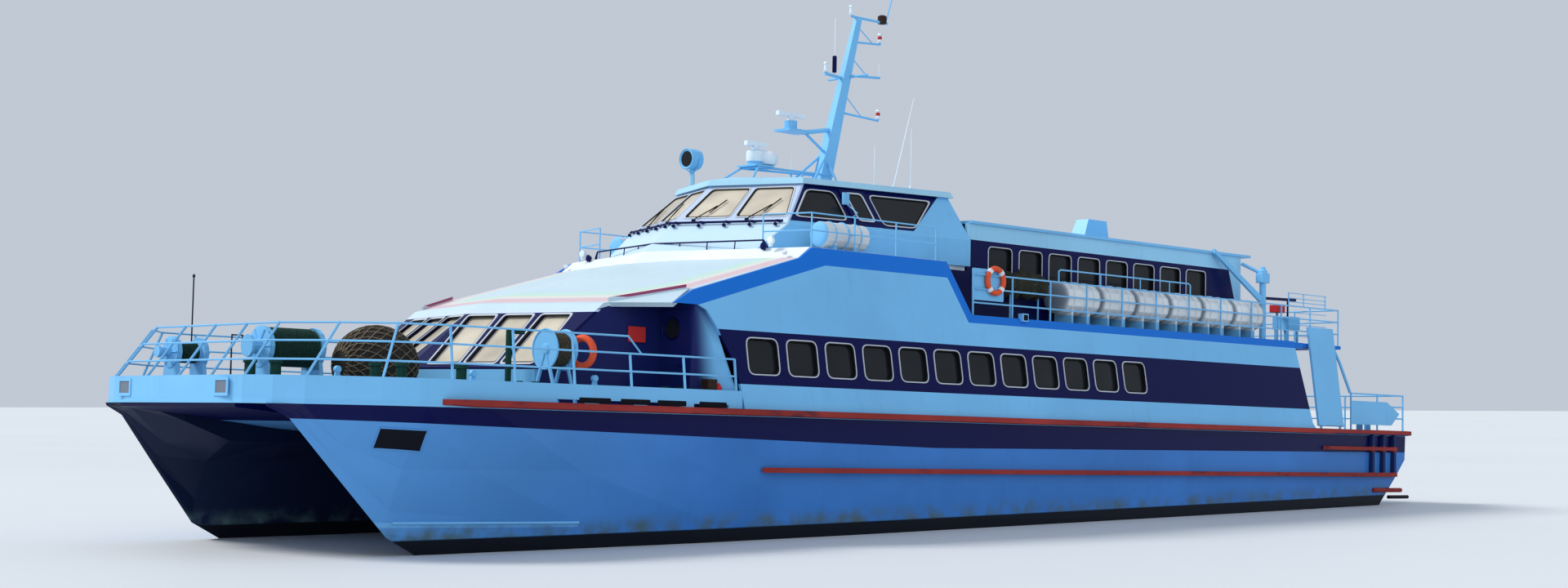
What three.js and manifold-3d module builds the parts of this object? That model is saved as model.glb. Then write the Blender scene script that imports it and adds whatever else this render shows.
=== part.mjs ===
// Passenger ferry: a fast two-hulled ship with a closed saloon, an upper cabin and a wheelhouse.
// Millimetres. +X runs forward, +Y to port, +Z up. The origin lies on the centre line,
// amidships, at the waterline.
import * as THREE from 'three';
import { mergeVertices } from 'three/addons/utils/BufferGeometryUtils.js';
import { ConvexGeometry } from 'three/addons/geometries/ConvexGeometry.js';
import Module from 'manifold-3d';

const wasm = await Module();
wasm.setup();

// Driving dimensions
const GAP = 0.4;                  // air between pieces that rest on each other
const STERN_X = -19100;
const BOW_X = 19100;
const HALF_BEAM = 5000;
const BOW_CORNER_R = 3200;        // plan radius of the bow corners
const BOW_FLAT_Y = HALF_BEAM - BOW_CORNER_R;
const BOW_ARC_X = BOW_X - BOW_CORNER_R;
const DECK_BOTTOM = 2500;
const DECK_TOP = 2600;
const BULWARK_TOP = 3040;
const BULWARK_T = 80;
const BULWARK_END_X = 8300;
const TUNNEL_Y = 2250;            // inner side of each hull at deck level
const TUNNEL_ROOF = 1800;
const LEAN = 0.169;               // tumblehome of the saloon sides, mm in per mm up
const LEAN_Z = 2590;
const SIDE_T = 70;
const WALL_T = 70;
const UPPER_DECK_BOTTOM = 5000;
const UPPER_DECK_TOP = 5100;
const UPPER_DECK_Y = 4500;
const UPPER_DECK_AFT = -16300;
const ROOF_T = 90;                // upright thickness of the sloping fore roof
const ROOF_Z = 4900;              // its front edge on the centre line
const ROOF_X = 11600;
const ROOF_RISE = 0.274;          // mm up per mm aft
const ROOF_FALL = 0.07;           // mm down per mm out to the side
const BRIDGE_DECK_BOTTOM = 6300;
const BRIDGE_DECK_TOP = 6400;
const CABIN_Y = 3570;             // outer face of the upper cabin
const CABIN_TOP = 7500;
const CABIN_FRONT = -600;
const SHOULDER_X = 5620;          // forward end of the level top edge of the sides
const SHOULDER_FOOT_X = 6070;     // where the step under it meets the fore roof
const SHOULDER_AFT_X = 1040;
const CABIN_AFT = -12500;
const BULKHEAD_X = -14100;        // aft bulkhead of the saloon
const ALCOVE_X = 9360;            // aft bulkhead of the side recesses
const ALCOVE_Y = 3450;            // inner wall of the side recesses
const FACET_X = 13400;            // saloon front on the centre line at sill height
const FACET_Z = 3510;
const FACET_SWEEP = 0.226;
const FACET_RAKE = 1.25;
const FACET_T = 110;
const FACET_FOOT = 3400;

// Colours
const PALE_BLUE = new THREE.MeshStandardMaterial({ color: 0x9cc9e8, roughness: 0.4, metalness: 0 });
const HULL_BLUE = new THREE.MeshStandardMaterial({ color: 0x6fa6d6, roughness: 0.45, metalness: 0 });
const DECK_GREY = new THREE.MeshStandardMaterial({ color: 0x8fa6b0, roughness: 0.7, metalness: 0 });
const WHITE = new THREE.MeshStandardMaterial({ color: 0xe6eef4, roughness: 0.4, metalness: 0 });
const FENDER_RED = new THREE.MeshStandardMaterial({ color: 0x8c2f2b, roughness: 0.6, metalness: 0 });
const DARK_GLASS = new THREE.MeshStandardMaterial({ color: 0x1a2026, roughness: 0.15, metalness: 0 });
const SAND_GLASS = new THREE.MeshStandardMaterial({ color: 0xbfb09a, roughness: 0.2, metalness: 0 });
const BRONZE = new THREE.MeshStandardMaterial({ color: 0x9a7b45, roughness: 0.4, metalness: 0.8 });
const STEEL = new THREE.MeshStandardMaterial({ color: 0x707880, roughness: 0.5, metalness: 0.6 });
const GREEN = new THREE.MeshStandardMaterial({ color: 0x1f3a2c, roughness: 0.7, metalness: 0 });
const DARK_NET = new THREE.MeshStandardMaterial({ color: 0x3a3226, roughness: 0.9, metalness: 0 });

const ferry = new THREE.Group();

// Helpers
function vec(x, y, z) {
  return new THREE.Vector3(x, y, z);
}

function flipped(geometry) {
  const index = geometry.index.array;
  for (let i = 0; i < index.length; i += 3) {
    const a = index[i];
    index[i] = index[i + 1];
    index[i + 1] = a;
  }
  return geometry;
}

function merged(geometry, matrix) {
  let g = geometry.clone();
  g.deleteAttribute('normal');
  g.deleteAttribute('uv');
  if (matrix) g.applyMatrix4(matrix);
  g = mergeVertices(g, 1e-3);
  if (matrix && matrix.determinant() < 0) flipped(g);
  return g;
}

function solid(geometry, matrix) {
  const g = merged(geometry, matrix);
  const mesh = new wasm.Mesh({
    numProp: 3,
    vertProperties: new Float32Array(g.attributes.position.array),
    triVerts: new Uint32Array(g.index.array),
  });
  return new wasm.Manifold(mesh);
}

function geometryOf(body) {
  const mesh = body.getMesh();
  const g = new THREE.BufferGeometry();
  g.setAttribute('position', new THREE.BufferAttribute(new Float32Array(mesh.vertProperties), 3));
  g.setIndex(new THREE.BufferAttribute(new Uint32Array(mesh.triVerts), 1));
  return g;
}

function join(list) {
  let whole = list[0];
  for (let i = 1; i < list.length; i += 1) whole = whole.add(list[i]);
  return whole;
}

function cut(body, list) {
  let rest = body;
  for (const piece of list) rest = rest.subtract(piece);
  return rest;
}

// A flat plate drawn in its own plane: point (a, b, c) goes to o + a u + b v + c w.
function frame(o, u, v, w) {
  return new THREE.Matrix4().makeBasis(vec(...u), vec(...v), vec(...w)).setPosition(vec(...o));
}

function plate(points, thickness, matrix, start = 0) {
  const shape = new THREE.Shape(points.map(([a, b]) => new THREE.Vector2(a, b)));
  const g = new THREE.ExtrudeGeometry(shape, { depth: thickness, bevelEnabled: false });
  g.translate(0, 0, start);
  return solid(g, matrix);
}

const PLAN = frame([0, 0, 0], [1, 0, 0], [0, 1, 0], [0, 0, 1]);
const PROFILE = frame([0, 0, 0], [1, 0, 0], [0, 0, 1], [0, 1, 0]);
const SECTION = frame([0, 0, 0], [0, 1, 0], [0, 0, 1], [1, 0, 0]);
const LEANING = frame([0, HALF_BEAM, LEAN_Z], [1, 0, 0], [0, -LEAN, 1], [0, -1, 0]);

// Prisms across the three main directions
function deckPlate(points, low, high) {
  return plate(points, high - low, PLAN, low);
}

function profilePlate(points, y0, y1) {
  return plate(points, y1 - y0, PROFILE, y0);
}

function sectionPlate(points, x0, x1) {
  return plate(points, x1 - x0, SECTION, x0);
}

function box(x0, x1, y0, y1, z0, z1) {
  const g = new THREE.BoxGeometry(x1 - x0, y1 - y0, z1 - z0);
  g.translate((x0 + x1) / 2, (y0 + y1) / 2, (z0 + z1) / 2);
  return solid(g);
}

function wedge(points) {
  return solid(new ConvexGeometry(points.map((p) => vec(...p))));
}

function rod(a, b, radius, sides = 6) {
  const from = vec(...a);
  const to = vec(...b);
  const along = to.clone().sub(from);
  const g = new THREE.CylinderGeometry(radius, radius, along.length(), sides);
  if (sides === 4) g.rotateY(0.62);
  const turn = new THREE.Quaternion().setFromUnitVectors(vec(0, 1, 0), along.clone().normalize());
  g.applyQuaternion(turn);
  const mid = from.add(to).multiplyScalar(0.5);
  g.translate(mid.x, mid.y, mid.z);
  return solid(g);
}

function drum(a, b, radius, sides = 16) {
  return rod(a, b, radius, sides);
}

function rounded(x0, x1, z0, z1, r) {
  const k = r * 0.3;
  return [
    [x0 + r, z0], [x1 - r, z0], [x1 - k, z0 + k], [x1, z0 + r], [x1, z1 - r], [x1 - k, z1 - k],
    [x1 - r, z1], [x0 + r, z1], [x0 + k, z1 - k], [x0, z1 - r], [x0, z0 + r], [x0 + k, z0 + k],
  ];
}

function mirrorPlan(points) {
  const other = points.filter(([, y]) => Math.abs(y) > 0.01).map(([x, y]) => [x, -y]).reverse();
  return points.concat(other);
}

function add(name, body, material) {
  const mesh = new THREE.Mesh(geometryOf(body), material);
  mesh.name = name;
  ferry.add(mesh);
}

const ACROSS = new THREE.Matrix4().makeScale(1, -1, 1);

function addBoth(name, body, material) {
  const port = geometryOf(body);
  const starboard = merged(port, ACROSS);
  for (const [side, g] of [['port', port], ['starboard', starboard]]) {
    const mesh = new THREE.Mesh(g, material);
    mesh.name = name + '_' + side;
    ferry.add(mesh);
  }
}

// Hinge knuckles in a right-angled frame: a runs towards the leaf, b along the pin, c outwards.
// The pin stands KNUCKLE_OUT proud of the wall; each knuckle of the leaf rests on one of the wall.
const KNUCKLE_R = 12;
const KNUCKLE_OUT = 16;
function hinges(pinFrame, heights, leafDepth) {
  const leaf = [];
  const wall = [];
  for (const h of heights) {
    const low = new THREE.CylinderGeometry(KNUCKLE_R, KNUCKLE_R, 90, 12);
    low.translate(0, h, KNUCKLE_OUT);
    wall.push(solid(low, pinFrame));
    const wallStrap = new THREE.BoxGeometry(40, 80, 30);
    wallStrap.translate(-22, h, KNUCKLE_OUT - 8);
    wall.push(solid(wallStrap, pinFrame));
    const high = new THREE.CylinderGeometry(KNUCKLE_R, KNUCKLE_R, 90, 12);
    high.translate(0, h + 90 + GAP, KNUCKLE_OUT);
    leaf.push(solid(high, pinFrame));
    const arm = new THREE.BoxGeometry(60, 80, 12);
    arm.translate(32, h + 90 + GAP, KNUCKLE_OUT);
    leaf.push(solid(arm, pinFrame));
    const foot = new THREE.BoxGeometry(40, 80, leafDepth + KNUCKLE_OUT);
    foot.translate(42, h + 90 + GAP, (KNUCKLE_OUT - leafDepth) / 2);
    leaf.push(solid(foot, pinFrame));
  }
  return { leaf, wall };
}

// Both halves of a piece that crosses the centre line
function both(body) {
  return body.add(solid(geometryOf(body), ACROSS));
}

function sideY(z) {
  return HALF_BEAM - LEAN * (z - LEAN_Z);
}

function roofZ(x, y) {
  return ROOF_Z + ROOF_RISE * (ROOF_X - x) - ROOF_FALL * Math.abs(y);
}

// Outline of the main deck, port half, from stern to bow
function deckOutline(inset) {
  const r = BOW_CORNER_R - inset;
  const list = [[STERN_X + inset, HALF_BEAM - inset]];
  for (const degrees of [90, 77, 64, 51, 38, 26, 13, 0]) {
    const t = THREE.MathUtils.degToRad(degrees);
    list.push([BOW_ARC_X + r * Math.cos(t), BOW_FLAT_Y + r * Math.sin(t)]);
  }
  return list;
}

// Hulls: stations from stern to stem, port side
const STATIONS = [
  { x: -19100, keel: [3700, -500], chine: -250, chineOut: 4680, chineIn: 2720, lowOut: 4860, lowIn: 2540, mid: 1300, midOut: 4960, midIn: 2450, topOut: 5000, topIn: 2250 },
  { x: -12000, keel: [3700, -1050], chine: -350, chineOut: 4740, chineIn: 2660, lowOut: 4900, lowIn: 2500, mid: 1300, midOut: 4970, midIn: 2450, topOut: 5000, topIn: 2250 },
  { x: -4000, keel: [3700, -1350], chine: -400, chineOut: 4750, chineIn: 2650, lowOut: 4900, lowIn: 2500, mid: 1300, midOut: 4970, midIn: 2450, topOut: 5000, topIn: 2250 },
  { x: 4000, keel: [3700, -1350], chine: -380, chineOut: 4730, chineIn: 2670, lowOut: 4880, lowIn: 2520, mid: 1300, midOut: 4960, midIn: 2450, topOut: 5000, topIn: 2250 },
  { x: 9000, keel: [3700, -1320], chine: -300, chineOut: 4560, chineIn: 2840, lowOut: 4740, lowIn: 2660, mid: 1300, midOut: 4890, midIn: 2540, topOut: 5000, topIn: 2250 },
  { x: 12500, keel: [3700, -1200], chine: -220, chineOut: 4260, chineIn: 3140, lowOut: 4460, lowIn: 2940, mid: 1300, midOut: 4740, midIn: 2700, topOut: 5000, topIn: 2250 },
  { x: 15000, keel: [3700, -800], chine: -120, chineOut: 3930, chineIn: 3470, lowOut: 4060, lowIn: 3340, mid: 1300, midOut: 4470, midIn: 2960, topOut: 4995, topIn: 2250 },
  { x: 16460, keel: [3700, -40], chine: 40, chineOut: 3725, chineIn: 3675, lowOut: 3780, lowIn: 3620, mid: 1300, midOut: 4180, midIn: 3180, topOut: 4935, topIn: 2250 },
  { x: 17540, keel: [3460, 1200], chine: 1270, chineOut: 3500, chineIn: 3420, lowOut: 3560, lowIn: 3360, mid: 1700, midOut: 3800, midIn: 3080, topOut: 4530, topIn: 2250 },
  { x: 18440, keel: [3250, 2250], chine: 2280, chineOut: 3290, chineIn: 3200, lowOut: 3340, lowIn: 3130, mid: 2400, midOut: 3500, midIn: 2850, topOut: 3720, topIn: 2470 },
  { x: 18850, keel: [3140, 2440], chine: 2450, chineOut: 3150, chineIn: 3130, lowOut: 3160, lowIn: 3120, mid: 2480, midOut: 3170, midIn: 3110, topOut: 3180, topIn: 3100 },
];
const HULL_TOP = DECK_BOTTOM - GAP;

function stationRing(s) {
  const low = s.chine + (s.mid - s.chine) * 0.35;
  return [
    [s.x, s.topOut, HULL_TOP], [s.x, s.midOut, s.mid], [s.x, s.lowOut, low],
    [s.x, s.chineOut, s.chine], [s.x, s.keel[0], s.keel[1]], [s.x, s.chineIn, s.chine],
    [s.x, s.lowIn, low], [s.x, s.midIn, s.mid], [s.x, s.topIn, Math.min(s.mid + 450, HULL_TOP - 8)],
    [s.x, s.topIn, HULL_TOP],
  ];
}

function loft(rings) {
  const count = rings[0].length;
  const positions = [];
  for (const ring of rings) {
    for (const p of ring) positions.push(...p);
  }
  const index = [];
  for (let i = 0; i < rings.length - 1; i += 1) {
    for (let j = 0; j < count; j += 1) {
      const a = i * count + j;
      const b = i * count + ((j + 1) % count);
      index.push(a, a + count, b, b, a + count, b + count);
    }
  }
  for (const [row, turn] of [[0, 1], [rings.length - 1, -1]]) {
    const flat = rings[row].map((p) => new THREE.Vector2(p[1], p[2]));
    for (const [a, b, c] of THREE.ShapeUtils.triangulateShape(flat, [])) {
      const base = row * count;
      const area = THREE.ShapeUtils.area([flat[a], flat[b], flat[c]]);
      if (area * turn < 0) index.push(base + a, base + b, base + c);
      else index.push(base + a, base + c, base + b);
    }
  }
  const g = new THREE.BufferGeometry();
  g.setAttribute('position', new THREE.BufferAttribute(new Float32Array(positions), 3));
  g.setIndex(index);
  return solid(g);
}

const STERN_RAKE = [[-19200, 1900], [-17900, 540], [-17700, 300], [-17700, -2000], [-19400, -2000], [-19400, 1900]];
const sternCutter = profilePlate(STERN_RAKE, 0, 6000);
let hull = loft(STATIONS.map(stationRing));
hull = cut(hull, [sternCutter]);
const SHAFT_Z = -1230;
const SHAFT_Y = 3700;
const PROP_X = -16200;
const shaftLine = rod([-9000, SHAFT_Y, -1000], [PROP_X + 156, SHAFT_Y, SHAFT_Z], 55, 10);
const strut = wedge([
  [PROP_X + 400, 3670, SHAFT_Z], [PROP_X + 600, 3670, SHAFT_Z], [PROP_X + 400, 3730, SHAFT_Z],
  [PROP_X + 600, 3730, SHAFT_Z], [PROP_X + 450, 3670, -400], [PROP_X + 750, 3670, -400],
  [PROP_X + 450, 3730, -400], [PROP_X + 750, 3730, -400],
]);
const shaftEnd = rod([PROP_X + 700, SHAFT_Y, SHAFT_Z], [PROP_X + 150 + GAP, SHAFT_Y, SHAFT_Z], 62, 10);
addBoth('hull', join([hull, shaftLine, shaftEnd, strut]), HULL_BLUE);

// Bridge structure between the hulls
const TUNNEL = [
  [STERN_X, TUNNEL_ROOF], [12500, TUNNEL_ROOF], [15500, 2050], [17500, 2280], [19000, 2420],
  [19000, HULL_TOP], [STERN_X, HULL_TOP],
];
const bridge = profilePlate(TUNNEL, -TUNNEL_Y + GAP, TUNNEL_Y - GAP);
add('bridge_structure', bridge, HULL_BLUE);

// Main deck
const outline = [[STERN_X, 0]].concat(deckOutline(0), [[BOW_X, 0]]);
const HATCH = { x: 14900, y: -1300, half: 350, top: 2700 };
let deck = deckPlate(mirrorPlan(outline), DECK_BOTTOM, DECK_TOP);
deck = deck.add(box(HATCH.x - HATCH.half, HATCH.x + HATCH.half, HATCH.y - HATCH.half, HATCH.y + HATCH.half,
  DECK_TOP - 10, HATCH.top));
const HOOK_POST = { x: 13100, y: 3000, top: 4180 };
deck = join([deck, drum([HOOK_POST.x, HOOK_POST.y, DECK_TOP - 10], [HOOK_POST.x, HOOK_POST.y, HOOK_POST.top], 65, 8),
  box(HOOK_POST.x - 380, HOOK_POST.x, HOOK_POST.y - 40, HOOK_POST.y + 40, HOOK_POST.top - 90, HOOK_POST.top)]);
const RAMP = { x0: -15650, x1: -14350, y: 4985, z: 2760, length: 2820 };
const BOLLARDS = [{ x: 16900, y: 2800 }, { x: 13600, y: 4300 }, { x: 9950, y: 4600 }, { x: -17900, y: 4300 }];
for (const side of [-1, 1]) {
  for (const x of [RAMP.x0 + 150, RAMP.x1 - 150]) {
    deck = deck.add(box(x - 50, x + 50, side * RAMP.y - 12, side * RAMP.y + 12, DECK_TOP - 10, RAMP.z - 40.3));
  }
  for (const b of BOLLARDS) {
    const y = side * b.y;
    deck = join([deck,
      box(b.x - 380, b.x + 380, y - 130, y + 130, DECK_TOP - 10, DECK_TOP + 40),
      drum([b.x - 220, y, DECK_TOP - 10], [b.x - 220, y, DECK_TOP + 480], 95, 12),
      drum([b.x + 220, y, DECK_TOP - 10], [b.x + 220, y, DECK_TOP + 480], 95, 12)]);
  }
}
add('main_deck', deck, DECK_GREY);

// Foredeck bulwark with its freeing ports
const outer = deckOutline(0).slice(1);
const inner = deckOutline(BULWARK_T).slice(1);
const ring = [[BULWARK_END_X, HALF_BEAM]].concat(outer, [[BOW_X, -1]], [[BOW_X - BULWARK_T, -1]]);
const bulwarkPlan = ring.concat(inner.slice().reverse(), [[BULWARK_END_X, HALF_BEAM - BULWARK_T]]);
const half = deckPlate(bulwarkPlan, DECK_TOP + GAP, BULWARK_TOP);
const FREEING_PORTS = [[8700, 9700], [10000, 11000], [11300, 12300], [12600, 13400]];
const ports = FREEING_PORTS.map(([a, b]) => box(a, b, 4800, 5100, DECK_TOP + 30, DECK_TOP + 130));
const bulwarkHalf = cut(half, ports);
add('fore_bulwark', both(bulwarkHalf), PALE_BLUE);

// Rubbing strakes, joined near the stern by upright ribs
const strakeTop = wedge([
  [16170, 4930, 2530], [16170, 4930, 2650], [16000, 5130, 2560], [16000, 5130, 2650],
  [15400, 5000 + GAP, 2510], [15400, 5000 + GAP, 2660], [15400, 5150, 2530], [15400, 5150, 2650],
  [-19200, 5000 + GAP, 2510], [-19200, 5000 + GAP, 2660], [-19200, 5150, 2530], [-19200, 5150, 2650],
]);
const RIBS = [-17150, -17750, -18350];
const strakeLow = wedge([
  [7630, 4970, 1290], [7630, 4970, 1400], [7400, 5110, 1290], [7400, 5110, 1400],
  [-18450, 4960, 1280], [-18450, 4960, 1400], [-18450, 5120, 1290], [-18450, 5120, 1400],
]);
const strakeShort = wedge([
  [-14600, 4970, 2060], [-14600, 4970, 2160], [-14700, 5120, 2060], [-14700, 5120, 2160],
  [-18450, 4970, 2060], [-18450, 4970, 2160], [-18450, 5120, 2060], [-18450, 5120, 2160],
]);
const ribs = RIBS.map((x) => box(x - 60, x + 60, 4970, 5100, 1350, 2560));
const hullShift = hull.translate([0, 0, 0]);
const deckShift = box(STERN_X - 50, 15600, 4000, 5000 + GAP, DECK_BOTTOM - 1, DECK_TOP + 100);
let strakes = join([strakeTop, strakeLow, strakeShort].concat(ribs));
strakes = cut(strakes, [deckShift, hullShift.translate([0, GAP, 0]), hullShift.translate([GAP, 0, 0])]);
strakes = strakes.subtract(deckPlate(mirrorPlan(outline), DECK_BOTTOM - 100, DECK_TOP + 200).translate([0, GAP, 0]));
strakes = strakes.decompose().sort((a, b) => b.volume() - a.volume())[0];
addBoth('fender', strakes, FENDER_RED);

// Saloon sides with their windows
const SIDE_EDGE = [
  [-14275, 2600.4], [8200, 2600.4], [8280, 3200], [8500, 3840], [8840, 4440], [9060, 4760],
  [9300, 4868], [9990, 4872], [9400, roofZ(9400, 4580)], [SHOULDER_FOOT_X, roofZ(SHOULDER_FOOT_X, 4400)],
  [SHOULDER_X, 6385], [SHOULDER_AFT_X, 6385], [330, 5130], [-13700, 5130], [-14110, 2800],
];
const leanPoints = (points) => points.map(([x, z]) => [x, z - LEAN_Z]);
const WINDOWS = { first: 7980, pitch: 1220, width: 920, low: 3430, high: 4210, count: 12 };
const openings = [];
for (let i = 0; i < WINDOWS.count; i += 1) {
  const x1 = WINDOWS.first - i * WINDOWS.pitch;
  const x0 = x1 - WINDOWS.width;
  openings.push(plate(leanPoints(rounded(x0, x1, WINDOWS.low, WINDOWS.high, 110)), 200, LEANING, -50));
}
let sideWall = plate(leanPoints(SIDE_EDGE), SIDE_T, LEANING);
sideWall = cut(sideWall, openings);
addBoth('side_wall', sideWall, PALE_BLUE);
const glassFrom = WINDOWS.first + 60;
const glassTo = WINDOWS.first - (WINDOWS.count - 1) * WINDOWS.pitch - WINDOWS.width - 60;
const glassStrip = [
  [glassTo, WINDOWS.low - 60], [glassFrom, WINDOWS.low - 60],
  [glassFrom, WINDOWS.high + 60], [glassTo, WINDOWS.high + 60],
];
addBoth('side_glass', plate(leanPoints(glassStrip), 8, LEANING, SIDE_T + GAP), DARK_GLASS);

// Saloon front: two swept facets that meet on the centre line
const facetFrame = frame(
  [FACET_X + FACET_RAKE * FACET_Z, 0, 0], [-FACET_SWEEP, 1, 0], [-FACET_RAKE, 0, 1], [-1, 0, 0]);
const footFrame = frame(
  [FACET_X + FACET_RAKE * (FACET_Z - FACET_FOOT), 0, 0], [-FACET_SWEEP, 1, 0], [0, 0, 1], [-1, 0, 0]);
const FRONT_WINDOWS = [
  { top: [115, 900], bottom: [460, 1290] },
  { top: [1130, 1910], bottom: [1450, 2280] },
  { top: [2140, 2920], bottom: [2440, 3270] },
];
// Height at which the facets meet the underside of the fore roof
function facetTop(y) {
  const reach = ROOF_X - FACET_X - FACET_RAKE * FACET_Z;
  const level = ROOF_Z - ROOF_T + ROOF_RISE * reach + (FACET_SWEEP * ROOF_RISE - ROOF_FALL) * y;
  return level / (1 - FACET_RAKE * ROOF_RISE) - GAP;
}
const facet = plate([[0, FACET_FOOT], [ALCOVE_Y, FACET_FOOT], [ALCOVE_Y, facetTop(ALCOVE_Y)], [0, facetTop(0)]],
  FACET_T, facetFrame);
const foot = plate([[0, DECK_TOP + GAP], [ALCOVE_Y, DECK_TOP + GAP], [ALCOVE_Y, FACET_FOOT], [0, FACET_FOOT]],
  FACET_T, footFrame);
const frontHoles = FRONT_WINDOWS.map((w) => plate(
  [[w.bottom[0], 3510], [w.bottom[1], 3510], [w.top[1], 4590], [w.top[0], 4590]], 400, facetFrame, -100));
const frontHalf = cut(facet.add(foot), frontHoles);
add('front_wall', both(frontHalf), PALE_BLUE);
const frontPane = plate([[0, 3460], [3360, 3460], [3360, 4640], [0, 4640]], 8, facetFrame, FACET_T + GAP);
add('front_glass', both(frontPane), SAND_GLASS);

// Side recesses beside the saloon front: inner wall and aft bulkhead with a door opening
const CLEAR = 6;                  // running gap round a door leaf
const ALCOVE_DOOR = { y0: 3560, y1: 4300, z0: 2680, z1: 4780 };
const innerFront = (z) => FACET_X - FACET_SWEEP * ALCOVE_Y - FACET_RAKE * (z - FACET_Z) - FACET_T - GAP;
const innerWall = profilePlate([
  [ALCOVE_X - WALL_T, DECK_TOP + GAP], [innerFront(FACET_FOOT), DECK_TOP + GAP],
  [innerFront(FACET_FOOT), FACET_FOOT], [innerFront(4830), 4830],
  [innerFront(4830), roofZ(innerFront(4830), ALCOVE_Y) - ROOF_T - 1],
  [ALCOVE_X - WALL_T, roofZ(ALCOVE_X - WALL_T, ALCOVE_Y) - ROOF_T - 1],
], ALCOVE_Y - WALL_T, ALCOVE_Y);
const RECESS_Y = 4450;            // where the oblique corner panel starts
const aftWall = sectionPlate([
  [ALCOVE_Y - WALL_T, DECK_TOP + GAP], [RECESS_Y, DECK_TOP + GAP],
  [RECESS_Y, roofZ(ALCOVE_X, RECESS_Y) - ROOF_T - 1], [ALCOVE_Y - WALL_T, roofZ(ALCOVE_X, ALCOVE_Y - WALL_T) - ROOF_T - 1],
], ALCOVE_X - WALL_T, ALCOVE_X);
const recessGap = box(ALCOVE_X - 400, ALCOVE_X + 400, ALCOVE_DOOR.y0, ALCOVE_DOOR.y1, ALCOVE_DOOR.z0, ALCOVE_DOOR.z1);
const wallSpace = plate(leanPoints([[12000, 2000], [12000, 7000], [0, 7000], [0, 2000]]), 600, LEANING,
  -600 + SIDE_T + 1);
const corner = wedge([
  [9359, 4440, DECK_TOP + GAP], [9291, 4440, DECK_TOP + GAP], [8215, 4905, DECK_TOP + GAP], [8150, 4870, DECK_TOP + GAP],
  [9359, 4440, 4440], [9291, 4440, 4440], [8860, 4640, 4440], [8800, 4620, 4440],
  [9359, 4440, 4990], [9291, 4440, 4990], [9340, 4535, 4990], [9270, 4535, 4990],
]);
let alcove = cut(join([innerWall, aftWall, corner.subtract(wallSpace)]), [recessGap]);
const alcovePin = frame([ALCOVE_X, ALCOVE_DOOR.y0, 0], [0, 1, 0], [0, 0, 1], [1, 0, 0]);
const alcoveHinge = hinges(alcovePin, [3000, 4300], 15);
alcove = join([alcove].concat(alcoveHinge.wall));
const alcoveLeaf = box(ALCOVE_X - 60, ALCOVE_X - 10, ALCOVE_DOOR.y0 + CLEAR, ALCOVE_DOOR.y1 - CLEAR,
  ALCOVE_DOOR.z0 + CLEAR, ALCOVE_DOOR.z1 - CLEAR);
addBoth('alcove_door', join([alcoveLeaf].concat(alcoveHinge.leaf)), PALE_BLUE);

// Sloping fore roof: flush with the front facets, with a lower eave over each side recess
const ROOF_PLAN = [[12300, 0], [12300, ALCOVE_Y], [10840, ALCOVE_Y], [9330, 4330], [9250, 4700], [5960, 4700], [6600, 0]];
const roofSheet = new THREE.Matrix4().set(
  1, 0, 0, 0,
  0, 1, 0, 0,
  -ROOF_RISE, -ROOF_FALL, 1, ROOF_Z + ROOF_RISE * ROOF_X,
  0, 0, 0, 1);
const roofHalf = plate(ROOF_PLAN, ROOF_T, roofSheet, -ROOF_T);
const aheadOfFacets = plate([[-100, 4000], [6000, 4000], [6000, 6000], [-100, 6000]], 3000,
  frame([FACET_X + FACET_RAKE * FACET_Z, 0, 0], [-FACET_SWEEP, 1, 0], [-FACET_RAKE, 0, 1], [1, 0, 0]));
const EAVE = [[10860, 3440, 4860], [9330, 4330, roofZ(9330, 4330) - 2], [9980, 4540, 4872]];
const eave = wedge(EAVE.concat(EAVE.map(([x, y, z]) => [x - 60, y - 30, z - ROOF_T])));
const kerb = wedge([
  [10820, 3430, roofZ(10820, 3430) - 30], [10790, 3400, roofZ(10790, 3400) - 30],
  [9360, 4290, roofZ(9360, 4290) - 30], [9330, 4250, roofZ(9330, 4250) - 30],
  [10820, 3430, roofZ(10820, 3430) + 90], [10790, 3400, roofZ(10790, 3400) + 90],
  [9360, 4290, roofZ(9360, 4290) + 90], [9330, 4250, roofZ(9330, 4250) + 90],
]);
const wallClear = plate(leanPoints([[11000, 4500], [11000, 7000], [0, 7000], [0, 4500]]), 400, LEANING, -400 + SIDE_T + 1);
const foreRoof = cut(join([roofHalf.subtract(aheadOfFacets), eave, kerb]), [wallClear]);
add('fore_roof', both(foreRoof), WHITE);
const roundRoof = [[0, 0, 0], [0, 0, -GAP], [-GAP, -GAP, -GAP], [GAP, -GAP, -GAP], [0, GAP, 0], [0, -GAP, 0], [GAP, 0, 0], [-GAP, 0, 0]];
addBoth('alcove', cut(alcove, roundRoof.map((shift) => foreRoof.translate(shift))), PALE_BLUE);

// Upper deck
const UPPER_PLAN = [[UPPER_DECK_AFT, 0], [UPPER_DECK_AFT, UPPER_DECK_Y], [9000, UPPER_DECK_Y], [9000, 0]];
add('upper_deck', deckPlate(mirrorPlan(UPPER_PLAN), UPPER_DECK_BOTTOM, UPPER_DECK_TOP), DECK_GREY);

// Saloon aft bulkhead with a double-width door opening
const AFT_DOOR = { half: 450, z0: 2680, z1: 4700 };
const SALOON_AFT = BULKHEAD_X + 300;
const aftEdge = (z) => sideY(z) - SIDE_T - 1;
let saloonAft = sectionPlate([
  [-aftEdge(DECK_TOP), DECK_TOP + GAP], [aftEdge(DECK_TOP), DECK_TOP + GAP],
  [aftEdge(UPPER_DECK_BOTTOM), UPPER_DECK_BOTTOM - GAP], [-aftEdge(UPPER_DECK_BOTTOM), UPPER_DECK_BOTTOM - GAP],
], SALOON_AFT, SALOON_AFT + WALL_T);
saloonAft = saloonAft.subtract(box(BULKHEAD_X, BULKHEAD_X + 600, -AFT_DOOR.half, AFT_DOOR.half,
  AFT_DOOR.z0, AFT_DOOR.z1));
const saloonPin = frame([SALOON_AFT, -AFT_DOOR.half, 0], [0, 1, 0], [0, 0, 1], [-1, 0, 0]);
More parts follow.
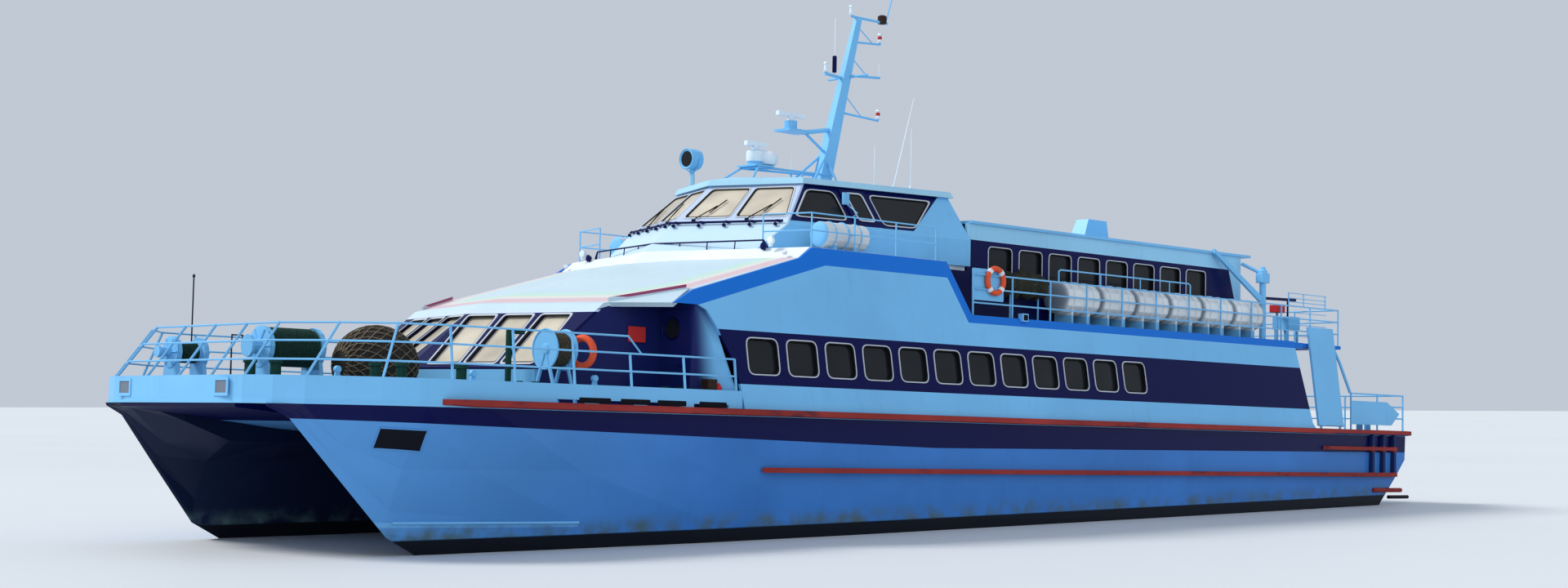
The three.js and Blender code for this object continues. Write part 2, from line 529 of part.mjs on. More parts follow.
const saloonHinge = hinges(saloonPin, [3000, 4300], 15);
add('saloon_aft_wall', join([saloonAft].concat(saloonHinge.wall)), PALE_BLUE);
const saloonLeaf = box(SALOON_AFT + 10, SALOON_AFT + 60, -AFT_DOOR.half + CLEAR, AFT_DOOR.half - CLEAR,
  AFT_DOOR.z0 + CLEAR, AFT_DOOR.z1 - CLEAR);
add('saloon_door', join([saloonLeaf].concat(saloonHinge.leaf)), PALE_BLUE);

// Wheelhouse deck: a level slab, the step down to the fore roof and the nose under the wheelhouse front
const HOUSE = { ridge: 6900, rake: 1.2, sweep: 0.4, flare: 0.167, lean: 0.71, aft: -520, kneeZ: 7050, kneeY: 3031 };
const BRIDGE_FRONT = 6750;
const BRIDGE_PLAN = [
  [BRIDGE_FRONT, 0], [SHOULDER_X, 4275], [SHOULDER_AFT_X, 4275], [SHOULDER_AFT_X, CABIN_Y], [-520, CABIN_Y], [-520, 0],
];
const slab = deckPlate(mirrorPlan(BRIDGE_PLAN), BRIDGE_DECK_BOTTOM, BRIDGE_DECK_TOP);
const step = both(wedge([
  [BRIDGE_FRONT, 0, BRIDGE_DECK_TOP], [SHOULDER_X, 4275, BRIDGE_DECK_TOP], [6500, 0, BRIDGE_DECK_TOP],
  [5400, 4275, BRIDGE_DECK_TOP], [BRIDGE_FRONT + 450, 0, 6000], [SHOULDER_FOOT_X + 90, 4275, 6000],
  [6500, 0, 6000], [5800, 4275, 6000],
]));
const noseEnd = 2500;
const nose = both(wedge([0, 1].flatMap((k) => {
  const z = k ? BRIDGE_DECK_TOP : 5950;
  const x = HOUSE.ridge - HOUSE.rake * (z - BRIDGE_DECK_TOP);
  return [[x, 0, z], [x - HOUSE.sweep * noseEnd, noseEnd, z], [6000, 0, z], [5700, noseEnd, z]];
})));
const roofClear = join([0, 1, 2, 3].flatMap((k) => [-GAP, GAP].map(
  (dx) => roofHalf.translate([dx, 0, GAP - k * ROOF_T * 0.9]))));
const bridgeParts = cut(join([slab, step, nose]), [both(roofClear)]);
const bridgeDeck = bridgeParts.decompose().sort((a, b) => b.volume() - a.volume())[0];
add('bridge_deck', bridgeDeck, DECK_GREY);

// Upper cabin
const CABIN_WINDOWS = { first: -1420, pitch: 1205, width: 900, low: 6180, high: 6960, count: 8 };
const CABIN_EDGE = [
  [CABIN_AFT, UPPER_DECK_TOP + GAP], [1000, UPPER_DECK_TOP + GAP], [1000, BRIDGE_DECK_BOTTOM - GAP],
  [CABIN_FRONT, BRIDGE_DECK_BOTTOM - GAP], [CABIN_FRONT, CABIN_TOP], [CABIN_AFT, CABIN_TOP],
];
const cabinHoles = [];
for (let i = 0; i < CABIN_WINDOWS.count; i += 1) {
  const x1 = CABIN_WINDOWS.first - i * CABIN_WINDOWS.pitch;
  cabinHoles.push(profilePlate(rounded(x1 - CABIN_WINDOWS.width, x1, CABIN_WINDOWS.low, CABIN_WINDOWS.high, 90),
    3300, 3800));
}
const cabinWall = cut(profilePlate(CABIN_EDGE, CABIN_Y - WALL_T, CABIN_Y), cabinHoles);
addBoth('cabin_wall', cabinWall, PALE_BLUE);
const cabinGlassAft = CABIN_WINDOWS.first - 7 * CABIN_WINDOWS.pitch - CABIN_WINDOWS.width - 60;
addBoth('cabin_glass', box(cabinGlassAft, CABIN_WINDOWS.first + 60, CABIN_Y - WALL_T - GAP - 8,
  CABIN_Y - WALL_T - GAP, CABIN_WINDOWS.low - 60, CABIN_WINDOWS.high + 60), DARK_GLASS);
const endY = CABIN_Y - WALL_T - GAP;
let cabinAft = box(CABIN_AFT, CABIN_AFT + WALL_T, -endY, endY, UPPER_DECK_TOP + GAP, CABIN_TOP - GAP);
const CABIN_DOOR = { y0: -1400, y1: -550, z0: UPPER_DECK_TOP + 80, z1: 7080 };
cabinAft = cabinAft.subtract(box(CABIN_AFT - 100, CABIN_AFT + 200, CABIN_DOOR.y0, CABIN_DOOR.y1,
  CABIN_DOOR.z0, CABIN_DOOR.z1));
const cabinPin = frame([CABIN_AFT, CABIN_DOOR.y0, 0], [0, 1, 0], [0, 0, 1], [-1, 0, 0]);
const cabinHinge = hinges(cabinPin, [5500, 6700], 15);
add('cabin_aft_wall', join([cabinAft].concat(cabinHinge.wall)), PALE_BLUE);
const cabinLeaf = box(CABIN_AFT + 10, CABIN_AFT + 60, CABIN_DOOR.y0 + CLEAR, CABIN_DOOR.y1 - CLEAR,
  CABIN_DOOR.z0 + CLEAR, CABIN_DOOR.z1 - CLEAR);
add('cabin_door', join([cabinLeaf].concat(cabinHinge.leaf)), PALE_BLUE);
const roofPlate = deckPlate(mirrorPlan([[-12900, 0], [-12900, 3640], [-680, 3640], [-680, 0]]),
  CABIN_TOP + GAP, CABIN_TOP + 70);
const roofFin = wedge([
  [-10700, -300, 7560], [-10700, 300, 7560], [-9300, -300, 7560], [-9300, 300, 7560],
  [-10600, -220, 8560], [-10600, 220, 8560], [-9750, -220, 8560], [-9750, 220, 8560],
]);
add('cabin_roof', roofPlate.add(roofFin), PALE_BLUE);

// Wheelhouse: swept front facets, upright lower sides and upper sides that lean in
const HOUSE_LOW = BRIDGE_DECK_TOP + GAP;
const HOUSE_HIGH = 8150;
const HOUSE_SILL = 7290;
const HOUSE_HEAD = 8060;
const FLARE_X = 3830;
function houseSide(x, z) {
  return HOUSE.kneeY + HOUSE.flare * (FLARE_X - x) - HOUSE.lean * Math.max(0, z - HOUSE.kneeZ);
}
function housePoints(inset, low, high) {
  const list = [];
  for (const z of [low, HOUSE.kneeZ, high]) {
    const ridge = HOUSE.ridge - HOUSE.rake * (z - BRIDGE_DECK_TOP) - inset * 1.3;
    const k = houseSide(0, z) - inset;
    const y = (k - HOUSE.flare * ridge) / (1 - HOUSE.flare * HOUSE.sweep);
    const aft = HOUSE.aft + inset;
    list.push([ridge, 0, z], [ridge - HOUSE.sweep * y, y, z], [ridge - HOUSE.sweep * y, -y, z]);
    list.push([aft, houseSide(aft, z) - inset, z], [aft, -houseSide(aft, z) + inset, z]);
  }
  return list;
}
const houseOuter = wedge(housePoints(0, HOUSE_LOW, HOUSE_HIGH));
const houseInner = wedge(housePoints(WALL_T, HOUSE_LOW - 50, HOUSE_HIGH + 50));
const houseFrame = frame(
  [HOUSE.ridge + HOUSE.rake * BRIDGE_DECK_TOP, 0, 0], [-HOUSE.sweep, 1, 0], [-HOUSE.rake, 0, 1], [-1, 0, 0]);
const HOUSE_FRONT = [
  { bottom: [130, 1260], top: [130, 1080] },
  { bottom: [1400, 2640], top: [1200, 2150] },
];
const houseFrontHoles = HOUSE_FRONT.map((w) => plate([
  [w.bottom[0], HOUSE_SILL], [w.bottom[1], HOUSE_SILL], [w.top[1], HOUSE_HEAD], [w.top[0], HOUSE_HEAD],
], 700, houseFrame, -250));
// Frame of the leaning side: a runs aft to forward, b is height, c points inboard
const leanFrame = frame([0, houseSide(0, HOUSE.kneeZ), HOUSE.kneeZ],
  [1, -HOUSE.flare, 0], [0, -HOUSE.lean, 1], [0, -1, 0]);
const lowFrame = frame([0, houseSide(0, HOUSE.kneeZ), HOUSE.kneeZ], [1, -HOUSE.flare, 0], [0, 0, 1], [0, -1, 0]);
const up = (points) => points.map(([x, z]) => [x, z - HOUSE.kneeZ]);
const HOUSE_SIDE = [
  [[4560, 7300], [3100, 7300], [3100, 8000], [3850, 8000]],
  [[2020, 7260], [1080, 7260], [160, 8000], [2020, 8000]],
];
const houseSideHoles = HOUSE_SIDE.map((points) => plate(up(points), 500, leanFrame, -200));
// Sliding side doors: each opening is covered from outside by a cranked leaf that slides aft
const SLIDE_DOOR = { x0: 2200, x1: 2880, z0: 6480, z1: 8080, overlap: 40, t: 40, travel: 700 };
function crankedPlate(x0, x1, z0, z1, t, start) {
  const low = plate(up([[x0, z0], [x1, z0], [x1, HOUSE.kneeZ], [x0, HOUSE.kneeZ]]), t, lowFrame, start);
  const high = plate(up([[x0, HOUSE.kneeZ], [x1, HOUSE.kneeZ], [x1, z1], [x0, z1]]), t, leanFrame, start);
  return low.add(high);
}
const doorHole = crankedPlate(SLIDE_DOOR.x0, SLIDE_DOOR.x1, SLIDE_DOOR.z0, SLIDE_DOOR.z1, 500, -200);
let house = houseOuter.subtract(houseInner);
for (const hole of houseFrontHoles.concat(houseSideHoles, [doorHole])) {
  house = house.subtract(hole).subtract(solid(geometryOf(hole), ACROSS));
}
const leafFoot = SLIDE_DOOR.z0 - SLIDE_DOOR.overlap;
const leafHead = SLIDE_DOOR.z1 + 10;
const leafAft = SLIDE_DOOR.x0 - SLIDE_DOOR.overlap;
const leafFore = SLIDE_DOOR.x1 + SLIDE_DOOR.overlap;
const trackAft = leafAft - SLIDE_DOOR.travel;
const TRACK_T = 25;
const ledge = plate(up([
  [trackAft, leafFoot - TRACK_T], [leafFore, leafFoot - TRACK_T],
  [leafFore, leafFoot - GAP], [trackAft, leafFoot - GAP],
]), SLIDE_DOOR.t + CLEAR + 30, lowFrame, -SLIDE_DOOR.t - CLEAR - 10);
house = join([house, ledge, solid(geometryOf(ledge), ACROSS)]);
add('wheelhouse', house, PALE_BLUE);
const doorLeaf = crankedPlate(leafAft, leafFore, leafFoot, leafHead, SLIDE_DOOR.t, -SLIDE_DOOR.t - CLEAR);
const lightAft = SLIDE_DOOR.x0 + 120;
const lightFore = SLIDE_DOOR.x1 - 120;
const doorLight = plate(up([[lightAft, 7330], [lightFore, 7330], [lightFore, 7990], [lightAft, 7990]]),
  300, leanFrame, -150);
addBoth('wheelhouse_door', doorLeaf.subtract(doorLight), PALE_BLUE);
const HOUSE_ROOF = [
  [4930, 0, HOUSE_HIGH + GAP], [3960, 2330, HOUSE_HIGH + GAP], [-620, 3090, HOUSE_HIGH + GAP],
  [4860, 0, 8300], [3900, 2270, 8300], [-560, 3020, 8300], [4100, 0, 8440], [-300, 0, 8440],
  [3300, 1500, 8400], [-300, 2000, 8400],
];
const LAMP = { x: 4100, y: -1500, foot: 8250, seat: 8614 };
const roofCap = both(wedge(HOUSE_ROOF.concat([[-620, 0, HOUSE_HIGH + GAP], [-560, 0, 8300]])));
const lampPost = drum([LAMP.x, LAMP.y, LAMP.foot], [LAMP.x, LAMP.y, LAMP.seat], 70, 10);
add('wheelhouse_roof', roofCap.add(lampPost), PALE_BLUE);

// Mast with its yards and radar platforms
const MAST_FOOT = 8380;
const mastCore = wedge([
  [1270, -150, MAST_FOOT], [1270, 150, MAST_FOOT], [840, -150, MAST_FOOT], [840, 150, MAST_FOOT],
  [-150, -60, 13045], [-150, 60, 13045], [-340, -60, 13045], [-340, 60, 13045],
]);
const arms = [
  rod([0, 0, 13060], [-1350, 0, 13060], 35), rod([-1290, 0, 13050], [-1570, 0, 13900], 22),
  rod([-150, 0, 12400], [-1100, 0, 12470], 30), rod([-270, 0, 12800], [-800, 0, 12450], 14),
  rod([100, 0, 11490], [-1100, 0, 11580], 35), rod([-20, 0, 11980], [-650, 0, 11540], 14),
  rod([150, 0, 11380], [950, 0, 11440], 45), rod([100, -700, 11440], [100, 700, 11440], 30),
  rod([450, 0, 10500], [-1070, 0, 10440], 30), rod([300, 0, 11050], [-420, 0, 10470], 14),
  rod([700, 0, 10000], [1700, 0, 9820], 60), rod([750, 0, 9300], [1600, 0, 9800], 35),
];
const radarShelf = box(1650, 2450, -280, 280, 9780, 9840);
const lowerLegs = [
  rod([4000, -600, 8380], [3500, -300, 8760], 30), rod([4000, 600, 8380], [3500, 300, 8760], 30),
  rod([3500, -320, 8740], [3500, 320, 8740], 30), rod([3500, -300, 8740], [700, -120, 8800], 30),
  rod([3500, 300, 8740], [700, 120, 8800], 30), rod([1900, -200, 8300], [1900, -200, 8780], 30),
  rod([1900, 200, 8300], [1900, 200, 8780], 30),
];
const lowerShelf = box(3050, 3650, -340, 340, 8760, 8800);
const radarBases = [
  drum([2140, 0, 9800], [2140, 0, 10060], 170, 12), drum([3350, 0, 8780], [3350, 0, 9180], 200, 12),
];
let mast = join([mastCore, radarShelf, lowerShelf].concat(arms, lowerLegs, radarBases));
mast = cut(mast, [roofCap, roofCap.translate([0, 0, GAP])]);
mast = mast.decompose().sort((a, b) => b.volume() - a.volume())[0];
add('mast', mast, PALE_BLUE);

// Radar scanners
function scanner(x, z, half, tall) {
  const post = drum([x, 0, z + GAP], [x, 0, z + 130], 90, 12);
  return post.add(box(x - half, x + half, -60, 60, z + 110, z + 110 + tall));
}
add('radar_scanner_upper', scanner(2140, 10060, 470, 110), WHITE);
add('radar_scanner_lower', scanner(3350, 9180, 330, 110), WHITE);

// Searchlight at the front of the wheelhouse roof
add('searchlight', join([
  drum([LAMP.x, LAMP.y, LAMP.seat + GAP], [LAMP.x, LAMP.y, LAMP.seat + 260], 60, 10),
  drum([LAMP.x - 150, LAMP.y, LAMP.seat + 380], [LAMP.x + 190, LAMP.y, LAMP.seat + 380], 260, 16),
]), WHITE);

// Railings: a table of runs, each a row of posts and level bars
function railing(points, levels, radius, postGap, low) {
  const list = [];
  for (const z of levels) {
    for (let i = 1; i < points.length; i += 1) {
      const a = vec(...points[i - 1], z);
      const b = vec(...points[i], z);
      const lap = b.clone().sub(a).setLength(radius * 0.7);
      if (i > 1) a.sub(lap);
      if (i < points.length - 1) b.add(lap);
      list.push(rod(a.toArray(), b.toArray(), radius, 5));
    }
  }
  const top = levels[levels.length - 1];
  for (let i = 1; i < points.length; i += 1) {
    const [ax, ay] = points[i - 1];
    const [bx, by] = points[i];
    const count = Math.max(1, Math.round(Math.hypot(bx - ax, by - ay) / postGap));
    for (let j = i === 1 ? 0 : 1; j <= count; j += 1) {
      const x = ax + (bx - ax) * j / count;
      const y = ay + (by - ay) * j / count;
      list.push(rod([x, y, low], [x, y, top], radius * 1.1, 4));
    }
  }
  return join(list);
}
const RAIL_R = 22;
// The foredeck rail rakes aft round the bow and leans in a little along the sides.
const FORE_RAIL = { end: 8450, highEnd: 11400, low: 3350, middle: 3720, high: 4080, rake: 0.78, lean: 0.13 };
function railAt([x, y], z) {
  const h = z - BULWARK_TOP;
  const round = THREE.MathUtils.smoothstep(x, BOW_ARC_X, BOW_X - 400);
  return [x - FORE_RAIL.rake * round * h, y - Math.sign(y) * FORE_RAIL.lean * h, z];
}
function bentBar(points, z, radius) {
  const list = [];
  for (let i = 1; i < points.length; i += 1) {
    const a = vec(...railAt(points[i - 1], z));
    const b = vec(...railAt(points[i], z));
    const lap = b.clone().sub(a).setLength(radius * 0.7);
    if (i > 1) a.sub(lap);
    if (i < points.length - 1) b.add(lap);
    list.push(rod(a.toArray(), b.toArray(), radius, 5));
  }
  return list;
}
const bowPath = deckOutline(40).slice(2).filter((p, i) => i % 2 === 1);
const across = (path) => path.concat(path.map(([x, y]) => [x, -y]).reverse());
const lowPath = across([[FORE_RAIL.end, 4960], [FORE_RAIL.highEnd, 4960], [BOW_ARC_X, 4960]].concat(bowPath));
const highPath = across([[FORE_RAIL.highEnd, 4960], [BOW_ARC_X, 4960]].concat(bowPath));
const foreBars = bentBar(lowPath, FORE_RAIL.low, RAIL_R).concat(
  bentBar(lowPath, FORE_RAIL.middle, RAIL_R), bentBar(highPath, FORE_RAIL.high, RAIL_R));
for (let i = 1; i < lowPath.length; i += 1) {
  const [ax, ay] = lowPath[i - 1];
  const [bx, by] = lowPath[i];
  const top = Math.max(ax, bx) > FORE_RAIL.highEnd + 1 ? FORE_RAIL.high : FORE_RAIL.middle;
  const a = vec(...railAt([ax, ay], top));
  const b = vec(...railAt([bx, by], top));
  const count = Math.max(1, Math.round(Math.hypot(bx - ax, by - ay) / 1400));
  for (let j = i === 1 ? 0 : 1; j <= count; j += 1) {
    const foot = [ax + (bx - ax) * j / count, ay + (by - ay) * j / count, BULWARK_TOP - 30];
    const head = a.clone().lerp(b, j / count);
    foreBars.push(rod(foot, [head.x - 3, head.y, head.z + 8], RAIL_R * 1.3, 5));
  }
}
for (const side of [-1, 1]) {
  const head = railAt([FORE_RAIL.highEnd + 9, side * 4960], FORE_RAIL.high - 4);
  foreBars.push(rod(head, railAt([FORE_RAIL.highEnd - 320, side * 4960], FORE_RAIL.middle + 3), RAIL_R * 0.9, 6));
}
const underRail = box(0, BOW_X + 500, -6000, 6000, DECK_BOTTOM, BULWARK_TOP + GAP);
add('foredeck_rail', join(foreBars).subtract(underRail), PALE_BLUE);
const sideRail = railing([[150, 4440], [-16240, 4440], [-16240, -4440], [150, -4440]], [5450, 5800, 6150], RAIL_R, 1450, UPPER_DECK_TOP + GAP);
add('upper_rail', sideRail, PALE_BLUE);
const bridgeRailPath = [[SHOULDER_AFT_X + 200, 4180], [5480, 4180], [5840, 2950]];
const sternRail = railing([[-16150, 4945], [-19040, 4945], [-19040, -4945], [-16150, -4945]], [3020, 3365, 3710], 25, 1900,
  DECK_TOP + GAP);
const sternPlate = profilePlate(
  [[-18350, 2810], [-16120, 2810], [-16120, 3500], [-18100, 3500], [-18800, 3160]], 4935, 4975);
add('stern_rail', join([sternRail, sternPlate, solid(geometryOf(sternPlate), ACROSS)]), PALE_BLUE);

// Life raft canisters on their racks
const RAFTS = { first: -4280, pitch: 1500, length: 1340, r: 415, y: 3995, z: 5800, count: 6 };
const raftSet = [];
for (let i = 0; i < RAFTS.count; i += 1) {
  const x = RAFTS.first - i * RAFTS.pitch;
  raftSet.push(drum([x - RAFTS.length / 2, RAFTS.y, RAFTS.z], [x + RAFTS.length / 2, RAFTS.y, RAFTS.z], RAFTS.r, 12));
  raftSet.push(box(x - 380, x - 300, RAFTS.y - 280, RAFTS.y + 280, UPPER_DECK_TOP + GAP, RAFTS.z - 250));
  raftSet.push(box(x + 300, x + 380, RAFTS.y - 280, RAFTS.y + 280, UPPER_DECK_TOP + GAP, RAFTS.z - 250));
}
// Diagonal strut from the cabin roof down to the davit post
raftSet.push(wedge([
  [-11000, 3645, 7505], [-11000, 3735, 7505], [-11250, 3645, 7505], [-11250, 3735, 7505],
  [-11000, 3645, 7625], [-11000, 3735, 7625], [-12560, 4210, 6130], [-12560, 4290, 6130],
  [-12640, 4210, 6130], [-12640, 4290, 6130], [-12560, 4210, 6330], [-12560, 4290, 6330],
]));
const raftLast = RAFTS.first - (RAFTS.count - 1) * RAFTS.pitch;
raftSet.push(box(raftLast - 380, RAFTS.first + 380, RAFTS.y - 40, RAFTS.y + 40, UPPER_DECK_TOP + GAP, UPPER_DECK_TOP + 60));
raftSet.push(box(-12640, raftLast, RAFTS.y + 100, RAFTS.y + 180, UPPER_DECK_TOP + GAP, UPPER_DECK_TOP + 60));
raftSet.push(drum([-12600, 4250, UPPER_DECK_TOP + GAP], [-12600, 4250, 6900], 90, 10));
addBoth('raft_rack', join(raftSet), WHITE);

// Raft canister beside the wheelhouse
const bridgeRail = railing(bridgeRailPath, [6800, 7200], 18, 1300, BRIDGE_DECK_TOP + GAP);
const besideRaft = drum([3300, 3650, 6800], [4700, 3650, 6800], 300, 12).add(
  box(3600, 3700, 3450, 3850, BRIDGE_DECK_TOP + GAP, 6600)).add(box(4300, 4400, 3450, 3850, BRIDGE_DECK_TOP + GAP, 6600));
const raftTie = rod([4000, 3650, 6800], [4000, 4180, 6800], 18);
addBoth('bridge_rail', join([bridgeRail, besideRaft, raftTie]), PALE_BLUE);

// Propellers and rudders
const hub = drum([PROP_X - 150, 3700, SHAFT_Z], [PROP_X + 150, 3700, SHAFT_Z], 110, 12);
const blades = [];
for (let i = 0; i < 4; i += 1) {
  const blade = new ConvexGeometry([
    vec(-60, 60, -30), vec(60, 60, 30), vec(-60, 60, -50), vec(60, 60, 10),
    vec(-110, 270, -120), vec(110, 270, 90), vec(-110, 270, -90), vec(110, 270, 120),
    vec(-50, 420, -50), vec(50, 420, 50), vec(-50, 420, -35), vec(50, 420, 65),
  ]);
  blade.rotateX(i * Math.PI / 2);
  blade.translate(PROP_X, 3700, SHAFT_Z);
  blades.push(solid(blade));
}
addBoth('propeller', join([hub].concat(blades)), BRONZE);
const RUDDER_X = -17050;
const rudderBlade = wedge([
  [RUDDER_X + 180, 3670, -1500], [RUDDER_X + 180, 3730, -1500], [RUDDER_X - 330, 3692, -1500],
  [RUDDER_X - 330, 3708, -1500], [RUDDER_X + 200, 3660, -740], [RUDDER_X + 200, 3740, -740],
  [RUDDER_X - 380, 3692, -740], [RUDDER_X - 380, 3708, -740],
]);
const rudder = rudderBlade.add(rod([RUDDER_X, 3700, -760], [RUDDER_X, 3700, -662.8], 45, 10));
addBoth('rudder', rudder, STEEL);

// Boarding ramps, stowed upright at the sides
const rampFrame = frame([0, RAMP.y, RAMP.z], [1, 0, 0], [0, -LEAN, 1], [0, -1, 0]);
const rampPlate = plate([[RAMP.x0, 0], [RAMP.x1, 0], [RAMP.x1 - 150, RAMP.length], [RAMP.x0 - 150, RAMP.length]],
  70, rampFrame, -35);
const rampTube = rod([RAMP.x0, RAMP.y, RAMP.z], [RAMP.x1, RAMP.y, RAMP.z], 40, 24);
addBoth('boarding_ramp', rampPlate.add(rampTube), PALE_BLUE);

// Foredeck hatch lid
add('foredeck_hatch', box(HATCH.x - HATCH.half - 30, HATCH.x + HATCH.half + 30, HATCH.y - HATCH.half - 30,
  HATCH.y + HATCH.half + 30, HATCH.top + GAP, HATCH.top + 50), PALE_BLUE);

// Winches on the foredeck: drum between two cheeks, with a warping head at the fore end
const WINCHES = [
  { name: 'windlass', x: 16500, y: 0, z: 3700, r: 380, half: 560, cheek: 430 },
  { name: 'bow_winch', x: 17900, y: -1650, z: 3560, r: 200, half: 260, cheek: 330 },
];
for (const { name, x, y, z, r, half, cheek } of WINCHES) {
  const cheeks = [-1, 1].flatMap((end) => {
    const at = x + end * (half + 40);
    const corners = [-1, 1].flatMap((dx) => [-1, 1].map((dy) => [dx * 45, dy]));
    return [
      wedge(corners.flatMap(([dx, dy]) => [
        [at + dx, y + dy * cheek * 1.05, DECK_TOP + 60], [at + dx, y + dy * cheek * 0.55, z + cheek * 0.4]])),
      drum([at - 45, y, z], [at + 45, y, z], cheek, 16),
    ];
  });
  add(name, join([
    box(x - half - 120, x + half + 120, y - cheek * 1.1, y + cheek * 1.1, DECK_TOP + GAP, DECK_TOP + 80),
    drum([x - half - 60, y, z], [x + half + 60, y, z], r, 16),
    drum([x + half, y, z], [x + half + 380, y, z], r * 0.42, 12),
    drum([x + half + 330, y, z], [x + half + 400, y, z], r * 0.62, 12),
  ].concat(cheeks)), GREEN);
}

// Mooring reel on its stand beside the port rail
const REEL = { x: 12750, y: 4100, z: 3760, r: 330, half: 200 };
const reelLegs = [-1, 1].flatMap((side) => [-1, 1].map((end) => rod(
  [REEL.x + side * (REEL.half + 40), REEL.y, REEL.z],
  [REEL.x + side * (REEL.half + 40), REEL.y + end * 420, DECK_TOP + 40], 40, 6)));
const mooringReel = join([
  box(REEL.x - 320, REEL.x + 320, REEL.y - 480, REEL.y + 480, DECK_TOP + GAP, DECK_TOP + 60),
  drum([REEL.x - REEL.half - 90, REEL.y, REEL.z], [REEL.x + REEL.half + 90, REEL.y, REEL.z], 70, 10),
  drum([REEL.x - REEL.half, REEL.y, REEL.z], [REEL.x + REEL.half, REEL.y, REEL.z], REEL.r, 16),
].concat(reelLegs));
add('mooring_reel', mooringReel, PALE_BLUE);

// Large netted fender lying on the foredeck
const NET = { x: 14750, y: 600, z: 3400, long: 920, r: 820 };
const netBody = new THREE.SphereGeometry(1, 12, 8);
netBody.scale(NET.long, NET.r, NET.r);
netBody.translate(NET.x, NET.y, NET.z);
const belowDeck = box(NET.x - 2000, NET.x + 2000, NET.y - 1500, NET.y + 1500, 2000, DECK_TOP + GAP);
add('net_fender', solid(netBody).subtract(belowDeck), DARK_NET);

// Davits on the upper deck
const davitArm = join([
  drum([-12600, 4250, 6900 + GAP], [-12600, 4250, 7060], 110, 10), rod([-12600, 4250, 7000], [-12350, 3700, 7300], 50, 8),
]);
addBoth('davit_arm', davitArm, PALE_BLUE);

export default ferry;
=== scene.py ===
import math

import bmesh
import bpy
from mathutils import Matrix, Vector


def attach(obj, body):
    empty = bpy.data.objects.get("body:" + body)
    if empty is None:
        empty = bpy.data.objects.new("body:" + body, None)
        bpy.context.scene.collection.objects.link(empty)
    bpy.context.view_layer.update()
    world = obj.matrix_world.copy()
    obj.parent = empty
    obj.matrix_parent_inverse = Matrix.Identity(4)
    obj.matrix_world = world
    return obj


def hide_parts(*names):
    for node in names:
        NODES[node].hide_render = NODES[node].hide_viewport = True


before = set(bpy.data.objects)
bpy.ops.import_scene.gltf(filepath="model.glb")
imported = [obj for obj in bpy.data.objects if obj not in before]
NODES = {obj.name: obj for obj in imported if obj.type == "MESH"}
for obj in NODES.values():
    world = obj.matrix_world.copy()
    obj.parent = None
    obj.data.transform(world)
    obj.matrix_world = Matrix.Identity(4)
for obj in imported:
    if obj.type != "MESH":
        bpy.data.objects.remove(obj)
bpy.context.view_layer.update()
SHIP = "ship"

# Camera: place and direction in the ship's frame, metres and radians
CAMERA_AT = (41.186, 40.010, 1.991)
CAMERA_YAW = -2.34256
CAMERA_PITCH = 0.0658
CAMERA_ROLL = 0.0204
FOCAL_PIXELS = 2725.45
IMAGE_WIDTH = 1920
SENSOR_MM = 36.0

# Edges sharper than this many degrees take a bevel
BEVEL_FROM = 50

# The ship floats a little bow-up: the water plane in its frame is z = TRIM * x
TRIM = -0.02497
FLOOR_RADIUS = 900.0
WORLD_STRENGTH = 0.66

# Lines of the painted bands, metres
BAND_LOW = 3.195
BAND_HIGH = 4.368
BAND_AFT = -14.2
BOOT_TOP = 0.30
LEAN = 0.169
LEAN_Z = 2.59
HALF_BEAM = 5.0

# Colours, linear
SKY = (0.185, 0.49, 0.80)
HULL = (0.048, 0.20, 0.56)
BRIGHT = (0.008, 0.16, 0.62)
NAVY = (0.001, 0.003, 0.060)
WHITE = (0.72, 0.80, 0.86)
BLACK = (0.006, 0.008, 0.014)
RED_STRAKE = (0.30, 0.035, 0.030)
DECK = (0.16, 0.24, 0.28)
GEAR_GREEN = (0.008, 0.045, 0.035)
CANISTER = (0.70, 0.73, 0.74)
SMEAR = (0.22, 0.12, 0.07)

# Finish of the paint
PAINT_SPECULAR = 0.08
GLASS_SPECULAR = 0.18
COAT_ROUGHNESS = 0.15
SOFT_EDGE = 0.004

# Directions, and the two sides of the ship with the ending of their names
AHEAD = (1, 0, 0)
UP = (0, 0, 1)
SIDES = (1, -1)
BODY_END = {1: "port", -1: "starboard"}


def side_y(z):
    return HALF_BEAM - LEAN * (z - LEAN_Z)


